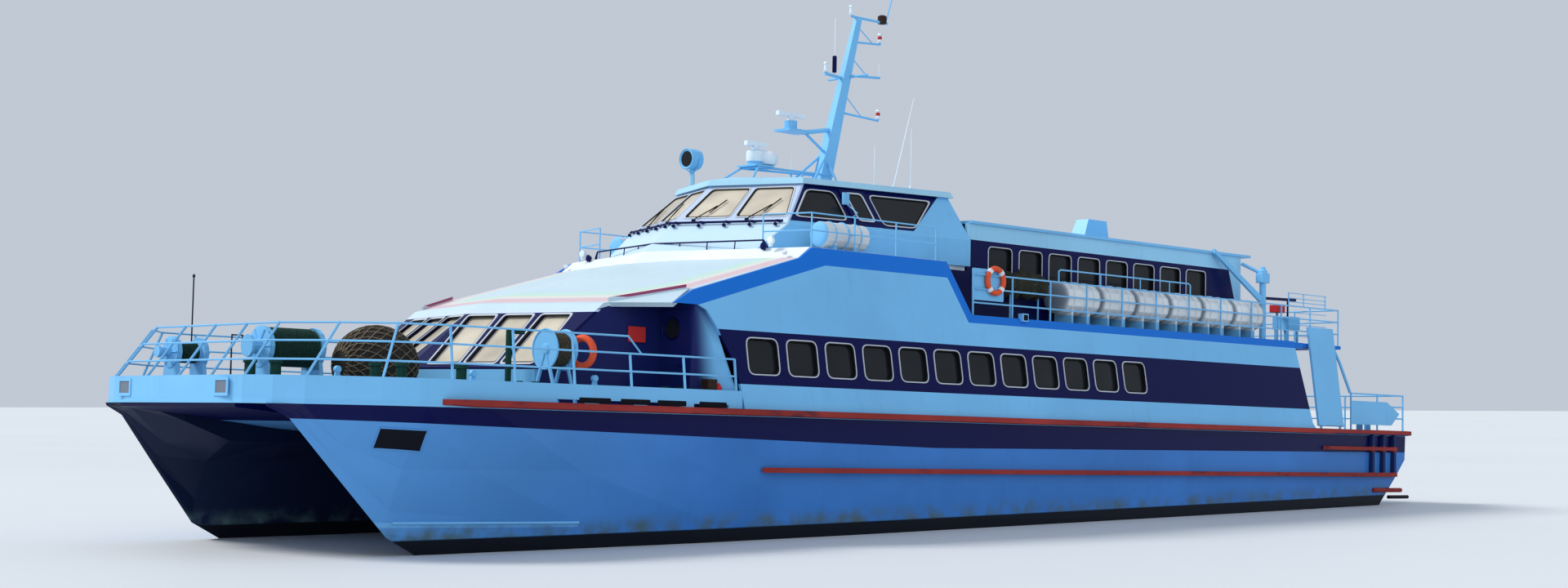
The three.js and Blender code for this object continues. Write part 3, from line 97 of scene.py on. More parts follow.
# Node helper
class Paint:
    """A procedural material: masks are worked out from the ship's own coordinates."""

    def __init__(self, name, roughness=0.4, coat=0.0):
        self.material = bpy.data.materials.new(name)
        self.material.use_nodes = True
        self.nodes = self.material.node_tree.nodes
        self.links = self.material.node_tree.links
        self.bsdf = self.nodes["Principled BSDF"]
        for name, number in (("Roughness", roughness), ("Coat Weight", coat),
                             ("Specular IOR Level", PAINT_SPECULAR), ("Coat Roughness", COAT_ROUGHNESS)):
            self.bsdf.inputs[name].default_value = number
        coordinates = self.nodes.new("ShaderNodeTexCoord").outputs
        self.place, self.facing = coordinates["Object"], coordinates["Normal"]
        self.x, self.y, self.z = self.parts(self.place)

    def parts(self, vector):
        node = self.nodes.new("ShaderNodeSeparateXYZ")
        self.links.new(vector, node.inputs[0])
        return node.outputs

    def put(self, socket, value):
        """Feed a socket from another socket, a colour or a number."""
        if isinstance(value, bpy.types.NodeSocket):
            self.links.new(value, socket)
        else:
            socket.default_value = (*value, 1.0) if isinstance(value, tuple) else value

    def node(self, kind, **values):
        """A new node with these inputs; a space in an input's name is written as _ here."""
        node = self.nodes.new("ShaderNode" + kind)
        for name, value in values.items():
            self.put(node.inputs[name.replace("_", " ")], value)
        return node

    def math(self, operation, a, b=0.0, c=0.0):
        node = self.nodes.new("ShaderNodeMath")
        node.operation = operation
        for socket, value in zip(node.inputs, (a, b, c)):
            self.put(socket, value)
        return node.outputs[0]

    def less(self, a, b):
        return self.math("SUBTRACT", a, b)

    def times(self, a, b):
        return self.math("MULTIPLY", a, b)

    def size(self, value):
        return self.math("ABSOLUTE", value)

    def above(self, value, edge=0.0, soft=SOFT_EDGE):
        """1 where value is over edge, with a soft step of the given width."""
        node = self.node("MapRange", Value=self.less(value, edge), From_Min=-soft, From_Max=soft)
        node.interpolation_type = "SMOOTHSTEP"
        return node.outputs[0]

    def below(self, value, edge=0.0, soft=SOFT_EDGE):
        return self.less(1.0, self.above(value, edge, soft))

    def most(self, *masks):
        whole = masks[0]
        for mask in masks[1:]:
            whole = self.math("MAXIMUM", whole, mask)
        return whole

    def both(self, *masks):
        whole = masks[0]
        for mask in masks[1:]:
            whole = self.times(whole, mask)
        return whole

    def between(self, value, low, high, soft=SOFT_EDGE):
        return self.both(self.above(value, low, soft), self.below(value, high, soft))

    def line(self, x0, z0, x1, z1):
        """Height above the line through two points of the side view."""
        slope = (z1 - z0) / (x1 - x0)
        rise = self.math("MULTIPLY_ADD", self.x, slope, z0 - slope * x0)
        return self.less(self.z, rise)

    def noise(self, scale, detail=4.0, roughness=0.55, stretch=(1, 1, 1)):
        mapping = self.nodes.new("ShaderNodeMapping")
        mapping.inputs["Scale"].default_value = stretch
        self.links.new(self.place, mapping.inputs["Vector"])
        return self.node("TexNoise", Vector=mapping.outputs[0], Scale=scale, Detail=detail,
                         Roughness=roughness).outputs["Fac"]

    def ramp(self, value, low, high, to_low=0.0, to_high=1.0):
        return self.node("MapRange", Value=value, From_Min=low, From_Max=high,
                         To_Min=to_low, To_Max=to_high).outputs[0]

    def mix(self, factor, a, b):
        node = self.nodes.new("ShaderNodeMix")
        node.data_type = "RGBA"
        for i, value in ((0, factor), (6, a), (7, b)):
            self.put(node.inputs[i], value)
        return node.outputs[2]

    def shade(self, colour, factor):
        return self.node("HueSaturation", Value=factor, Color=colour).outputs[0]

    def bump(self, height, strength=0.2, distance=0.01):
        node = self.node("Bump", Strength=strength, Distance=distance, Height=height)
        self.links.new(node.outputs[0], self.bsdf.inputs["Normal"])

    def finish(self, colour):
        self.put(self.bsdf.inputs["Base Color"], colour)
        return self.material


def weathered(paint, colour, amount=0.10):
    """Old gloss paint: patchy tone, faint runs down the plates and a slight waviness."""
    patch = paint.ramp(paint.noise(0.35, 5.0), 0.3, 0.7, 1.0 - amount, 1.0 + amount)
    toned = paint.shade(colour, patch)
    runs = paint.ramp(paint.noise(1.0, 5.0, 0.6, (5.0, 5.0, 0.22)), 0.56, 0.78, 0.0, 0.22)
    stained = paint.mix(runs, toned, paint.shade(toned, 0.62))
    paint.bump(paint.noise(1.1, 3.0, 0.5, (1.0, 1.0, 1.0)), 0.25, 0.02)
    return stained


def plain_paint(name, colour, roughness=0.38, coat=0.05, amount=0.08):
    paint = Paint(name, roughness, coat)
    return paint.finish(weathered(paint, colour, amount))


# Materials
# Lower edge of the painted stripe along the raised shoulder, side view, metres
SHOULDER_LOW = ((12.0, 4.06), (9.30, 4.86), (7.10, 5.48), (5.26, 5.99), (1.08, 5.99))
DECK_EDGE_Z = 4.93
# Dark band of the saloon front
FRONT_BAND = (3.36, 4.64)
# Paint on the upper cabin
CABIN_BAND = (5.06, 7.10)
CABIN_EDGE_Y = 3.45
CABIN_SIDE_Y = 3.57
# Paint round the wheelhouse windows
HOUSE_BAND_LOW = 7.16
HOUSE_RIDGE = 6.9
HOUSE_RAKE = 1.2
HOUSE_SWEEP = 0.40
HOUSE_FOOT_Z = 6.4
# Sweep of the saloon front, the same at the roof's front edge
FRONT_SWEEP = 0.226
# Raft canisters: the first one's middle, their spacing and radius, and the top of the rack under them
RAFT_X = -4.28
RAFT_PITCH = 1.5
RAFT_Y, RAFT_Z, RAFT_RADIUS = 3.995, 5.80, 0.415
RACK_TOP = 5.36
# The single canister in the bridge rail
BRIDGE_RAFT = (4.0, 3.65, 6.80)
# Fore roof stripes: from, to, colour, strength
ROOF_STRIPES = (
    (0.03, 0.42, (0.80, 0.30, 0.30), 0.50),
    (0.46, 0.70, (0.80, 0.68, 0.50), 0.55),
    (0.74, 1.02, (0.46, 0.72, 0.52), 0.60),
)


def side_wall_paint():
    """Saloon sides: dark window band, bright stripe on the shoulder and along the deck edge."""
    paint = Paint("side_wall_paint", 0.36, 0.06)
    base = weathered(paint, SKY, 0.07)
    forward_edge = paint.line(8.28, BAND_LOW, 8.78, BAND_HIGH)
    band = paint.both(paint.between(paint.z, BAND_LOW, BAND_HIGH), paint.above(forward_edge),
                      paint.above(paint.x, BAND_AFT))
    colour = paint.mix(band, base, NAVY)
    over = [paint.above(paint.line(*a, *b)) for a, b in zip(SHOULDER_LOW, SHOULDER_LOW[1:])]
    end_x, end_z = SHOULDER_LOW[-1]
    shoulder = paint.both(paint.above(paint.x, end_x), paint.most(*over))
    after = paint.both(paint.below(paint.x, end_x), paint.above(paint.z, DECK_EDGE_Z),
                       paint.above(paint.line(end_x, end_z, 0.48, DECK_EDGE_Z)))
    return paint.finish(paint.mix(paint.most(shoulder, after), colour, BRIGHT))


def cabin_paint():
    paint = Paint("cabin_paint", 0.36, 0.06)
    base = weathered(paint, (0.30, 0.60, 0.82), 0.07)
    side = paint.above(paint.size(paint.y), CABIN_EDGE_Y)
    forward = paint.below(paint.line(-0.10, 7.10, 0.75, 5.85))
    band = paint.both(paint.between(paint.z, *CABIN_BAND), forward,
                      paint.below(paint.line(-11.9, 7.10, -12.6, 5.1)), side)
    return paint.finish(paint.mix(band, base, NAVY))


def wheelhouse_paint():
    """Dark round the side windows with a raked after edge; the white front facets are given a painted shade
    of pale blue, darker and more lavender from z 7.2 up.
    """
    paint = Paint("wheelhouse_paint", 0.36, 0.06)
    base = weathered(paint, SKY, 0.06)
    across = paint.size(paint.y)
    ridge = paint.math("MULTIPLY_ADD", paint.z, -HOUSE_RAKE, HOUSE_RIDGE + HOUSE_RAKE * HOUSE_FOOT_Z)
    facet_x = paint.less(ridge, paint.times(across, HOUSE_SWEEP))
    before = paint.less(paint.x, facet_x)
    on_side = paint.below(before, -0.05, 0.02)
    after_edge = paint.line(1.37, 7.02, -0.21, 8.16)
    band = paint.both(on_side, paint.above(paint.z, HOUSE_BAND_LOW), paint.above(after_edge))
    colour = paint.mix(band, base, NAVY)
    # Painted shade: the front facets are white paint, coloured pale blue as they look in shade, and a darker
    # lavender from z 7.2 up
    front = paint.above(before, -0.05, 0.02)
    colour = paint.mix(front, colour, (0.50, 0.68, 0.84))
    head = paint.both(front, paint.above(paint.z, 7.20))
    colour = paint.mix(head, colour, (0.46, 0.56, 0.78))
    return paint.finish(colour)


def alcove_paint():
    paint = Paint("recess_paint_painted_shade", 0.4, 0.1)
    base = weathered(paint, SKY, 0.07)
    # Painted shade: the recess's inner walls, above the deck and inboard of the side, are painted near-black
    # navy where shade falls in the recess
    inner = paint.both(paint.above(paint.z, 2.62), paint.below(paint.size(paint.y), 4.62, 0.10))
    return paint.finish(paint.mix(inner, base, (0.008, 0.014, 0.10)))


def front_wall_paint():
    """Raked saloon front: white window frames over dark mullions; above them the white wall is given a
    painted shade of pale lavender blue.
    """
    paint = Paint("front_wall_paint", 0.36, 0.06)
    # Painted shade: the white wall is coloured pale lavender blue, as it looks in shade
    base = weathered(paint, (0.52, 0.64, 0.84), 0.05)
    dark = paint.between(paint.z, *FRONT_BAND)
    colour = paint.mix(dark, base, NAVY)
    return paint.finish(paint.mix(paint.below(paint.z, FRONT_BAND[0]), colour, SKY))


def roof_paint():
    """White fore roof with thin pink, cream and green stripes along its front and outer edges."""
    paint = Paint("roof_paint", 0.4, 0.06)
    base = weathered(paint, (0.50, 0.64, 0.72), 0.05)
    across = paint.size(paint.y)
    # distance inward from the front edge, the slanting kerb and the side edge
    from_front = paint.less(11.60, paint.math("MULTIPLY_ADD", across, FRONT_SWEEP, paint.x))
    from_kerb = paint.less(7.995 + 0.45, paint.math("MULTIPLY_ADD", across, 0.861,
                                                                paint.times(paint.x, 0.509)))
    from_side = paint.less(4.30, across)
    near = paint.math("MINIMUM", paint.math("MINIMUM", from_front, from_kerb), from_side)
    colour = base
    for low, high, tint, weight in ROOF_STRIPES:
        colour = paint.mix(paint.times(paint.between(near, low, high, 0.03), weight), colour, tint)
    kerb = paint.both(paint.above(paint.z, 4.99), paint.above(across, 3.38), paint.above(paint.x, 9.2))
    raised = paint.math("MULTIPLY_ADD", paint.x, -0.274, 4.9 + 0.274 * 11.6)
    raised = paint.less(raised, paint.times(across, 0.07))
    kerb = paint.both(kerb, paint.above(paint.less(paint.z, raised), 0.03))
    return paint.finish(paint.mix(kerb, colour, (0.30, 0.06, 0.14)))


def hull_paint():
    paint = Paint("hull_paint", 0.34, 0.08)
    base = weathered(paint, HULL, 0.12)
    outward = paint.times(paint.parts(paint.facing)[1], paint.math("SIGN", paint.y))
    # Painted shade: faces turned inboard, into the tunnel between the hulls, are picked out here
    inner = paint.below(outward, -0.06, 0.04)
    stripe = paint.both(paint.above(paint.line(2.03, 1.89, 18.34, 2.22)),
                        paint.above(paint.line(-14.72, 1.99, 2.03, 1.89)))
    # Painted light: the hull is lightened towards the bow, up to a third sky blue by x = 17
    base = paint.mix(paint.ramp(paint.x, 9.0, 17.0, 0.0, 0.35), base, SKY)
    colour = paint.mix(stripe, base, NAVY)
    # the inboard faces get a near-black painted shade, standing for the shade in the tunnel
    colour = paint.mix(inner, colour, (0.008, 0.016, 0.05))
    water = paint.less(paint.z, paint.times(paint.x, TRIM))
    ledge = paint.both(paint.between(paint.z, 0.15, 0.25), paint.above(paint.x, 12.3), outward)
    colour = paint.mix(paint.times(paint.most(ledge, 0.0), 0.6), colour, SKY)
    rough_edge = paint.math("ADD", water, paint.ramp(paint.noise(1.5, 5.0), 0.3, 0.7, -0.04, 0.04))
    growth = paint.both(paint.below(rough_edge, 0.55, 0.2), paint.ramp(paint.noise(2.2, 6.0), 0.4, 0.7))
    colour = paint.mix(growth, colour, (0.08, 0.14, 0.16))
    return paint.finish(paint.mix(paint.below(water, BOOT_TOP, 0.02), colour, BLACK))


def strake_paint():
    paint = Paint("strake_paint", 0.5)
    base = weathered(paint, RED_STRAKE, 0.25)
    worn = paint.ramp(paint.noise(3.0, 6.0, 0.6, (0.3, 1, 1)), 0.55, 0.7)
    colour = paint.mix(worn, base, (0.10, 0.02, 0.03))
    ribs = paint.most(paint.between(paint.z, 2.18, 2.54), paint.between(paint.z, 1.42, 2.02))
    ribs = paint.both(ribs, paint.below(paint.x, -15.0))
    return paint.finish(paint.mix(ribs, colour, (0.010, 0.025, 0.11)))


def smeared(paint, base):
    """Rusty smears over the white of a canister."""
    return paint.mix(paint.ramp(paint.noise(2.3, 5.0), 0.60, 0.80, 0.0, 0.35), base, SMEAR)


def raft_paint():
    """White canisters on a light blue rack, with painted shade in the gaps between them."""
    paint = Paint("raft_paint", 0.5)
    base = weathered(paint, CANISTER, 0.14)
    half = RAFT_PITCH / 2
    along = paint.math("MODULO", paint.less(half + RAFT_X + 40 * RAFT_PITCH, paint.x), RAFT_PITCH)
    from_gap = paint.size(paint.less(along, half))
    canister = paint.both(paint.above(paint.z, RACK_TOP), paint.above(paint.x, -12.6))
    # Painted shade: the canisters darken towards their ends, into the gaps between them
    gap_shade = paint.both(canister, paint.above(from_gap, 0.66, 0.10))
    colour = paint.mix(paint.times(gap_shade, 0.85), base, (0.06, 0.10, 0.16))
    colour = smeared(paint, colour)
    rack = paint.most(paint.below(paint.z, RACK_TOP), paint.above(paint.z, 6.225),
                      paint.below(paint.x, -12.47))
    return paint.finish(paint.mix(rack, colour, SKY))


def upper_deck_paint():
    """Deck grey on top, bright blue along the outer and after edges."""
    paint = Paint("upper_deck_paint", 0.6)
    base = weathered(paint, DECK, 0.12)
    edge = paint.above(paint.less(0.5, paint.parts(paint.facing)[2]))
    return paint.finish(paint.mix(edge, base, BRIGHT))


def bridge_rail_paint():
    """Light blue rail and cradle, with a white canister lying in it."""
    paint = Paint("bridge_rail_paint", 0.45)
    base = weathered(paint, SKY, 0.08)
    x, y, z = BRIDGE_RAFT
    away = paint.less(paint.size(paint.y), y)
    high = paint.less(paint.z, z)
    radial = paint.math("SQRT", paint.math("ADD", paint.times(away, away), paint.times(high, high)))
    along = paint.size(paint.less(paint.x, x))
    canister = paint.both(paint.below(radial, 0.315), paint.below(along, 0.705))
    white = smeared(paint, weathered(paint, CANISTER, 0.14))
    return paint.finish(paint.mix(canister, base, white))


def deck_paint():
    """Grey-blue deck, with dark green bollards and posts standing on it."""
    paint = Paint("deck_paint", 0.7)
    base = weathered(paint, DECK, 0.15)
    gear = paint.both(paint.above(paint.z, 2.63), paint.below(paint.size(paint.y), 4.85),
                      paint.above(paint.x, 9.4))
    upright = paint.below(paint.size(paint.parts(paint.facing)[2]), 0.6)
    base = paint.mix(upright, base, SKY)
    return paint.finish(paint.mix(gear, base, GEAR_GREEN))


def windlass_paint():
    paint = Paint("windlass_paint", 0.45)
    base = weathered(paint, SKY, 0.10)
    from_middle = paint.size(paint.less(paint.x, 16.5))
    drum = paint.both(paint.below(from_middle, 0.555), paint.above(paint.z, 3.25))
    return paint.finish(paint.mix(drum, base, GEAR_GREEN))


def glass(name, tint, rough=0.08):
    paint = Paint(name, rough)
    paint.bsdf.inputs["Specular IOR Level"].default_value = GLASS_SPECULAR
    tone = paint.ramp(paint.noise(0.8, 2.0), 0.3, 0.7, 0.75, 1.25)
    return paint.finish(paint.shade(tint, tone))


def rope_paint(name, colour):
    paint = Paint(name, 0.9)
    strands = paint.ramp(paint.noise(28.0, 3.0), 0.35, 0.65, 0.55, 1.5)
    paint.bump(paint.noise(60.0, 2.0), 0.6, 0.01)
    return paint.finish(paint.shade(colour, strands))


def dress_nodes():
    """Make every material and dress the CAD pieces; the made materials come back by key."""
    made = {
        "side": side_wall_paint(), "cabin": cabin_paint(), "house": wheelhouse_paint(),
        "alcove": alcove_paint(), "front": front_wall_paint(), "roof": roof_paint(),
        "hull": hull_paint(), "deck": deck_paint(), "winch": windlass_paint(), "raft": raft_paint(),
        "cradle": bridge_rail_paint(), "upper": upper_deck_paint(), "red": strake_paint(),
        "tyre": rope_paint("fender_rubber_net", (0.030, 0.027, 0.022)),
        "cover": rope_paint("bundle_cover", (0.035, 0.036, 0.026)),
        "dark_rope": rope_paint("drum_rope", (0.012, 0.035, 0.028)),
        "rope": rope_paint("net_rope", (0.05, 0.042, 0.030)),
        "net": rope_paint("net_cord", (0.15, 0.12, 0.085)),
        "dark_glass": glass("dark_glass", (0.012, 0.014, 0.016)),
        "sand_glass": glass("sand_glass", (0.52, 0.47, 0.38), 0.25),
    }
    # key, name, colour, then roughness and coat where they differ
    for key, name, colour, *finish in (
        ("sky", "sky_paint", SKY), ("white", "white_paint", WHITE), ("navy", "navy_paint", NAVY),
        ("bright", "bright_paint", BRIGHT), ("pale", "pale_paint", (0.34, 0.60, 0.76)),
        ("grey", "plate_grey", (0.16, 0.19, 0.24), 0.5),
        ("pit", "recess_black", (0.006, 0.007, 0.012), 0.7, 0.0),
        ("red_box", "box_red", (0.50, 0.03, 0.03), 0.45),
        ("brown", "chest_brown", (0.035, 0.018, 0.014), 0.6),
        ("black", "black_paint", (0.01, 0.01, 0.012), 0.5),
        ("bronze", "bronze", (0.45, 0.30, 0.12), 0.35),
        ("steel", "rudder_steel", (0.02, 0.022, 0.03), 0.6),
        ("green", "gear_green", (0.008, 0.050, 0.038), 0.5),
        ("orange", "ring_orange", (0.75, 0.10, 0.04), 0.5),
        ("frame", "frame_white", (0.50, 0.54, 0.58), 0.4),
    ):
        made[key] = plain_paint(name, colour, *finish)
    # the first row whose name starts a node's name gives its look; the rest is sky blue
    table = (
        ("hull", "hull"), ("bridge_structure", "hull"), ("main_deck", "deck"), ("upper_deck", "upper"),
        ("bridge_deck", "white"), ("fender", "red"), ("fore_roof", "roof"), ("radar", "white"),
        ("raft_rack", "raft"), ("bridge_rail", "cradle"), ("side_glass", "dark_glass"),
        ("cabin_glass", "dark_glass"), ("front_glass", "sand_glass"), ("propeller", "bronze"),
        ("rudder", "steel"), ("windlass", "winch"), ("net_fender", "rope"), ("side_wall", "side"),
        ("cabin_wall", "cabin"), ("wheelhouse_door", "house"), ("wheelhouse_roof", "pale"),
        ("wheelhouse", "house"), ("alcove", "alcove"), ("front_wall", "front"),
    )
    for name, node in NODES.items():
        key = next((k for start, k in table if name.startswith(start)), "sky")
        for place in node.material_slots:
            place.material = made[key]
    return made


def placed(name, data):
    """A new object in the scene."""
    made = bpy.data.objects.new(name, data)
    bpy.context.scene.collection.objects.link(made)
    return made


def make_camera():
    data = bpy.data.cameras.new("camera")
    data.sensor_width = SENSOR_MM
    data.lens = SENSOR_MM * FOCAL_PIXELS / IMAGE_WIDTH
    data.clip_end = 3000.0
    camera = placed("camera", data)
    bpy.context.scene.camera = camera
    forward = Vector((math.cos(CAMERA_YAW) * math.cos(CAMERA_PITCH),
                      math.sin(CAMERA_YAW) * math.cos(CAMERA_PITCH), math.sin(CAMERA_PITCH)))
    level = forward.cross(Vector((0, 0, 1))).normalized()
    upright = level.cross(forward)
    right = math.cos(CAMERA_ROLL) * level + math.sin(CAMERA_ROLL) * upright
    up = -math.sin(CAMERA_ROLL) * level + math.cos(CAMERA_ROLL) * upright
    turn = Matrix((right, up, -forward)).transposed().to_4x4()
    camera.matrix_world = Matrix.Translation(CAMERA_AT) @ turn


def make_stage():
    mesh = bpy.data.meshes.new("floor")
    bm = bmesh.new()
    bmesh.ops.create_circle(bm, cap_ends=True, radius=FLOOR_RADIUS, segments=96)
    for v in bm.verts:
        v.co.z = TRIM * v.co.x
    bm.to_mesh(mesh)
    bm.free()
    floor = placed("floor", mesh)
    paint = Paint("floor_finish", 0.55)
    tone = paint.ramp(paint.noise(0.02), 0.3, 0.7, 0.97, 1.03)
    mesh.materials.append(paint.finish(paint.shade((0.62, 0.65, 0.68), tone)))


def make_light():
    world = bpy.data.worlds.new("studio")
    world.use_nodes = True
    background = world.node_tree.nodes["Background"]
    background.inputs["Color"].default_value = (0.80, 0.88, 1.0, 1.0)
    background.inputs["Strength"].default_value = WORLD_STRENGTH
    bpy.context.scene.world = world
    for name, direction, power, angle, colour in (
        ("key", (-0.50, 0.60, -0.72), 2.9, 0.30, (1.0, 0.97, 0.92)),
        ("fill", (-0.6, -0.75, -0.35), 0.7, 1.0, (0.85, 0.92, 1.0)),
    ):
        data = bpy.data.lights.new(name, "SUN")
        data.energy = power
        data.angle = angle
        data.color = colour
        placed(name, data).rotation_euler = Vector(direction).to_track_quat("-Z", "Y").to_euler()
    bpy.context.scene.view_settings.view_transform = "Standard"


# Shapes
def fan(u, v, count):
    """Directions turning once round from u towards v."""
    angles = [2 * math.pi * i / count for i in range(count)]
    return [math.cos(angle) * u + math.sin(angle) * v for angle in angles]


class Form:
    """Collects plain shapes into one mesh."""

    def __init__(self):
        self.bm = bmesh.new()

    def skin(self, loops, around=False):
        """Skin equal point loops; around joins the last to the first, else both ends are capped."""
        rows = [[self.bm.verts.new(p) for p in loop] for loop in loops]
        count = len(rows[0])
        for a, b in zip(rows, rows[1:] + (rows[:1] if around else [])):
            for i in range(count):
                j = (i + 1) % count
                self.bm.faces.new((a[i], a[j], b[j], b[i]))
        if not around:
            self.bm.faces.new(rows[0][::-1])
            self.bm.faces.new(rows[-1])
        return self

    def circle(self, centre, along, radius, count):
        along = Vector(along).normalized()
        side = along.orthogonal().normalized()
        return [Vector(centre) + radius * out for out in fan(side, along.cross(side), count)]

    def bar(self, a, b, radius, count=8, end=None):
        along = Vector(b) - Vector(a)
        return self.skin([self.circle(a, along, radius, count), self.circle(b, along, end or radius, count)])

    def path(self, points, radius, count=8):
        """A bent tube through the points."""
        points = [Vector(p) for p in points]
        loops = []
        side = None
        for i, p in enumerate(points):
            ahead = (points[i + 1] - p).normalized() if i < len(points) - 1 else None
            behind = (p - points[i - 1]).normalized() if i else None
            along = ((ahead or behind) + (behind or ahead)).normalized()
            if side is None:
                side = along.orthogonal().normalized()
            side = (side - along * side.dot(along)).normalized()
            loops.append([p + radius * out for out in fan(side, along.cross(side), count)])
        return self.skin(loops)

    def lathe(self, origin, along, profile, count=16):
        """Turn (distance, radius) pairs round an axis."""
        along = Vector(along).normalized()
        return self.skin([self.circle(Vector(origin) + along * d, along, r, count) for d, r in profile])

    def ring(self, centre, axis, radius, thick, count=28, sides=10):
        axis = Vector(axis).normalized()
        u = axis.orthogonal().normalized()
        loops = []
        for out in fan(u, axis.cross(u), count):
            mid = Vector(centre) + radius * out
            loops.append([mid + thick * d for d in fan(out, axis, sides)])
        return self.skin(loops, around=True)

    def block(self, x0, x1, y0, y1, z0, z1):
        return self.skin([[(x0, y0, z), (x1, y0, z), (x1, y1, z), (x0, y1, z)] for z in (z0, z1)])

    def prism(self, points, push):
        return self.skin([points, [Vector(p) + Vector(push) for p in points]])

    def slab(self, outline, place, *heights):
        """A thin plate with this outline; place(a, b, h) gives the point."""
        return self.skin([[place(a, b, h) for a, b in outline] for h in heights])

    def frame(self, outer, inner, place, low, high):
        """A flat frame between two outlines; place(a, b, h) gives the point."""
        rows = ((outer, low), (outer, high), (inner, high), (inner, low))
        return self.skin([[place(a, b, h) for a, b in line] for line, h in rows], around=True)

    def mirrored(self):
        """Add the same shapes on the other side of the centre plane."""
        whole = list(self.bm.faces) + list(self.bm.edges) + list(self.bm.verts)
        for v in bmesh.ops.duplicate(self.bm, geom=whole)["geom"]:
            if isinstance(v, bmesh.types.BMVert):
                v.co.y = -v.co.y
        return self

    def done(self, name, look, body=SHIP, bevel=0.0, smooth=40.0):
        """Make the object; look is a key of LOOKS, smooth the sharp angle in degrees."""
        bmesh.ops.recalc_face_normals(self.bm, faces=self.bm.faces)
        mesh = bpy.data.meshes.new(name)
        self.bm.to_mesh(mesh)
        self.bm.free()
        mesh.materials.append(LOOKS[look])
        made = placed(name, mesh)
        mesh.shade_smooth()
        mesh.set_sharp_from_angle(angle=math.radians(smooth))
        if bevel:
            cut = made.modifiers.new("edge", "BEVEL")
            cut.width = bevel
            cut.segments = 2
            cut.limit_method = "ANGLE"
            cut.angle_limit = math.radians(BEVEL_FROM)
        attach(made, body)
        return made


def rounded(points, radius, steps=4):
    """Round the corners of a polygon given as (a, b) pairs."""
    out = []
    for before, p, after in zip(points[-1:] + points[:-1], points, points[1:] + points[:1]):
        p = Vector(p)
        before, after = Vector(before) - p, Vector(after) - p
        reach = min(radius, before.length * 0.45, after.length * 0.45)
        a = p + before.normalized() * reach
        c = p + after.normalized() * reach
        for k in range(steps + 1):
            t = k / steps
            out.append(tuple((1 - t) ** 2 * a + 2 * t * (1 - t) * p + t ** 2 * c))
    return out


def shrunk(points, by):
    """Move every side of a convex polygon inward."""
    pairs = list(zip(points, points[1:] + points[:1]))
    sign = 1.0 if sum(p[0] * q[1] - q[0] * p[1] for p, q in pairs) > 0 else -1.0
    lines = []
    for p, q in pairs:
        along = (Vector(q) - Vector(p)).normalized()
        lines.append((Vector(p) + Vector((-along.y, along.x)) * sign * by, along))
    out = []
    for (p, u), (q, v) in zip(lines[-1:] + lines[:-1], lines):
        cross = u.x * v.y - u.y * v.x
        out.append(tuple(p + u * ((q.x - p.x) * v.y - (q.y - p.y) * v.x) / cross))
    return out


def rectangle(x0, x1, z0, z1):
    return [(x0, z0), (x1, z0), (x1, z1), (x0, z1)]


def both_sides(p, side):
    """The port point p, or its mirror image for side -1."""
    return Vector((p[0], side * p[1], p[2]))


# Surfaces that carry windows: each takes (a, height, outward) and gives a point on the port side
def on_side(a, b, h):
    return Vector((a, side_y(b) + h, b))


def on_cabin(a, b, h):
    return Vector((a, CABIN_SIDE_Y + h, b))


def on_house_side(a, b, h):
    return Vector((a, 3.031 + 0.167 * (3.83 - a) - 0.71 * (b - 7.05) + h, b))


def on_house_facet(a, b, h):
    return Vector((HOUSE_RIDGE - HOUSE_RAKE * (b - HOUSE_FOOT_Z) - HOUSE_SWEEP * a + h, a, b))


def on_saloon_facet(a, b, h):
    return Vector((13.4 - 1.25 * (b - 3.51) - FRONT_SWEEP * a + h, a, b))


SIDE_WINDOWS = [rectangle(7.98 - 1.22 * i - 0.92, 7.98 - 1.22 * i, 3.43, 4.21) for i in range(12)]
CABIN_WINDOWS = [rectangle(-1.42 - 1.205 * i - 0.90, -1.42 - 1.205 * i, 6.18, 6.96) for i in range(8)]
HOUSE_SIDE_WINDOWS = [
    [(4.56, 7.30), (3.10, 7.30), (3.10, 8.00), (3.85, 8.00)],
    [(2.02, 7.26), (1.08, 7.26), (0.16, 8.00), (2.02, 8.00)],
]
HOUSE_FRONT_WINDOWS = [
    [(0.13, 7.29), (1.26, 7.29), (1.08, 8.06), (0.13, 8.06)],
    [(1.40, 7.29), (2.64, 7.29), (2.15, 8.06), (1.20, 8.06)],
]
SALOON_WINDOWS = [
    [(0.460, 3.51), (1.290, 3.51), (0.900, 4.59), (0.115, 4.59)],
    [(1.450, 3.51), (2.280, 3.51), (1.910, 4.59), (1.130, 4.59)],
    [(2.440, 3.51), (3.270, 3.51), (2.920, 4.59), (2.140, 4.59)],
]


SEAL_WIDTH = 0.022


def window_frames():
    """Raised frames round every window, with a dark pane edge set in them."""
    # name, outlines, surface, width, corner radius, height over the surface
    table = (
        ("side_frames", SIDE_WINDOWS, on_side, 0.028, 0.16, 0.020),
        ("cabin_frames", CABIN_WINDOWS, on_cabin, 0.024, 0.12, 0.020),
        ("house_side_frames", HOUSE_SIDE_WINDOWS[:1], on_house_side, 0.030, 0.14, 0.020),
        ("house_aft_frames", HOUSE_SIDE_WINDOWS[1:], on_house_side, 0.030, 0.14, 0.002),
        ("house_front_frames", HOUSE_FRONT_WINDOWS, on_house_facet, 0.032, 0.08, 0.020),
        ("saloon_front_frames", SALOON_WINDOWS, on_saloon_facet, 0.040, 0.06, 0.020),
    )
    for name, outlines, place, wide, corner, proud in table:
        rim = Form()
        seal = Form()
        for outline in outlines:
            edge = rounded(outline, corner)
            rim.frame(rounded(shrunk(outline, -wide), corner + wide), edge, place, -0.006, proud)
            seal.frame(edge, rounded(shrunk(outline, SEAL_WIDTH), corner), place, -0.05, proud * 0.4)
        rim.mirrored().done(name, "frame", bevel=proud * 0.2)
        seal.mirrored().done(name + "_seal", "black")


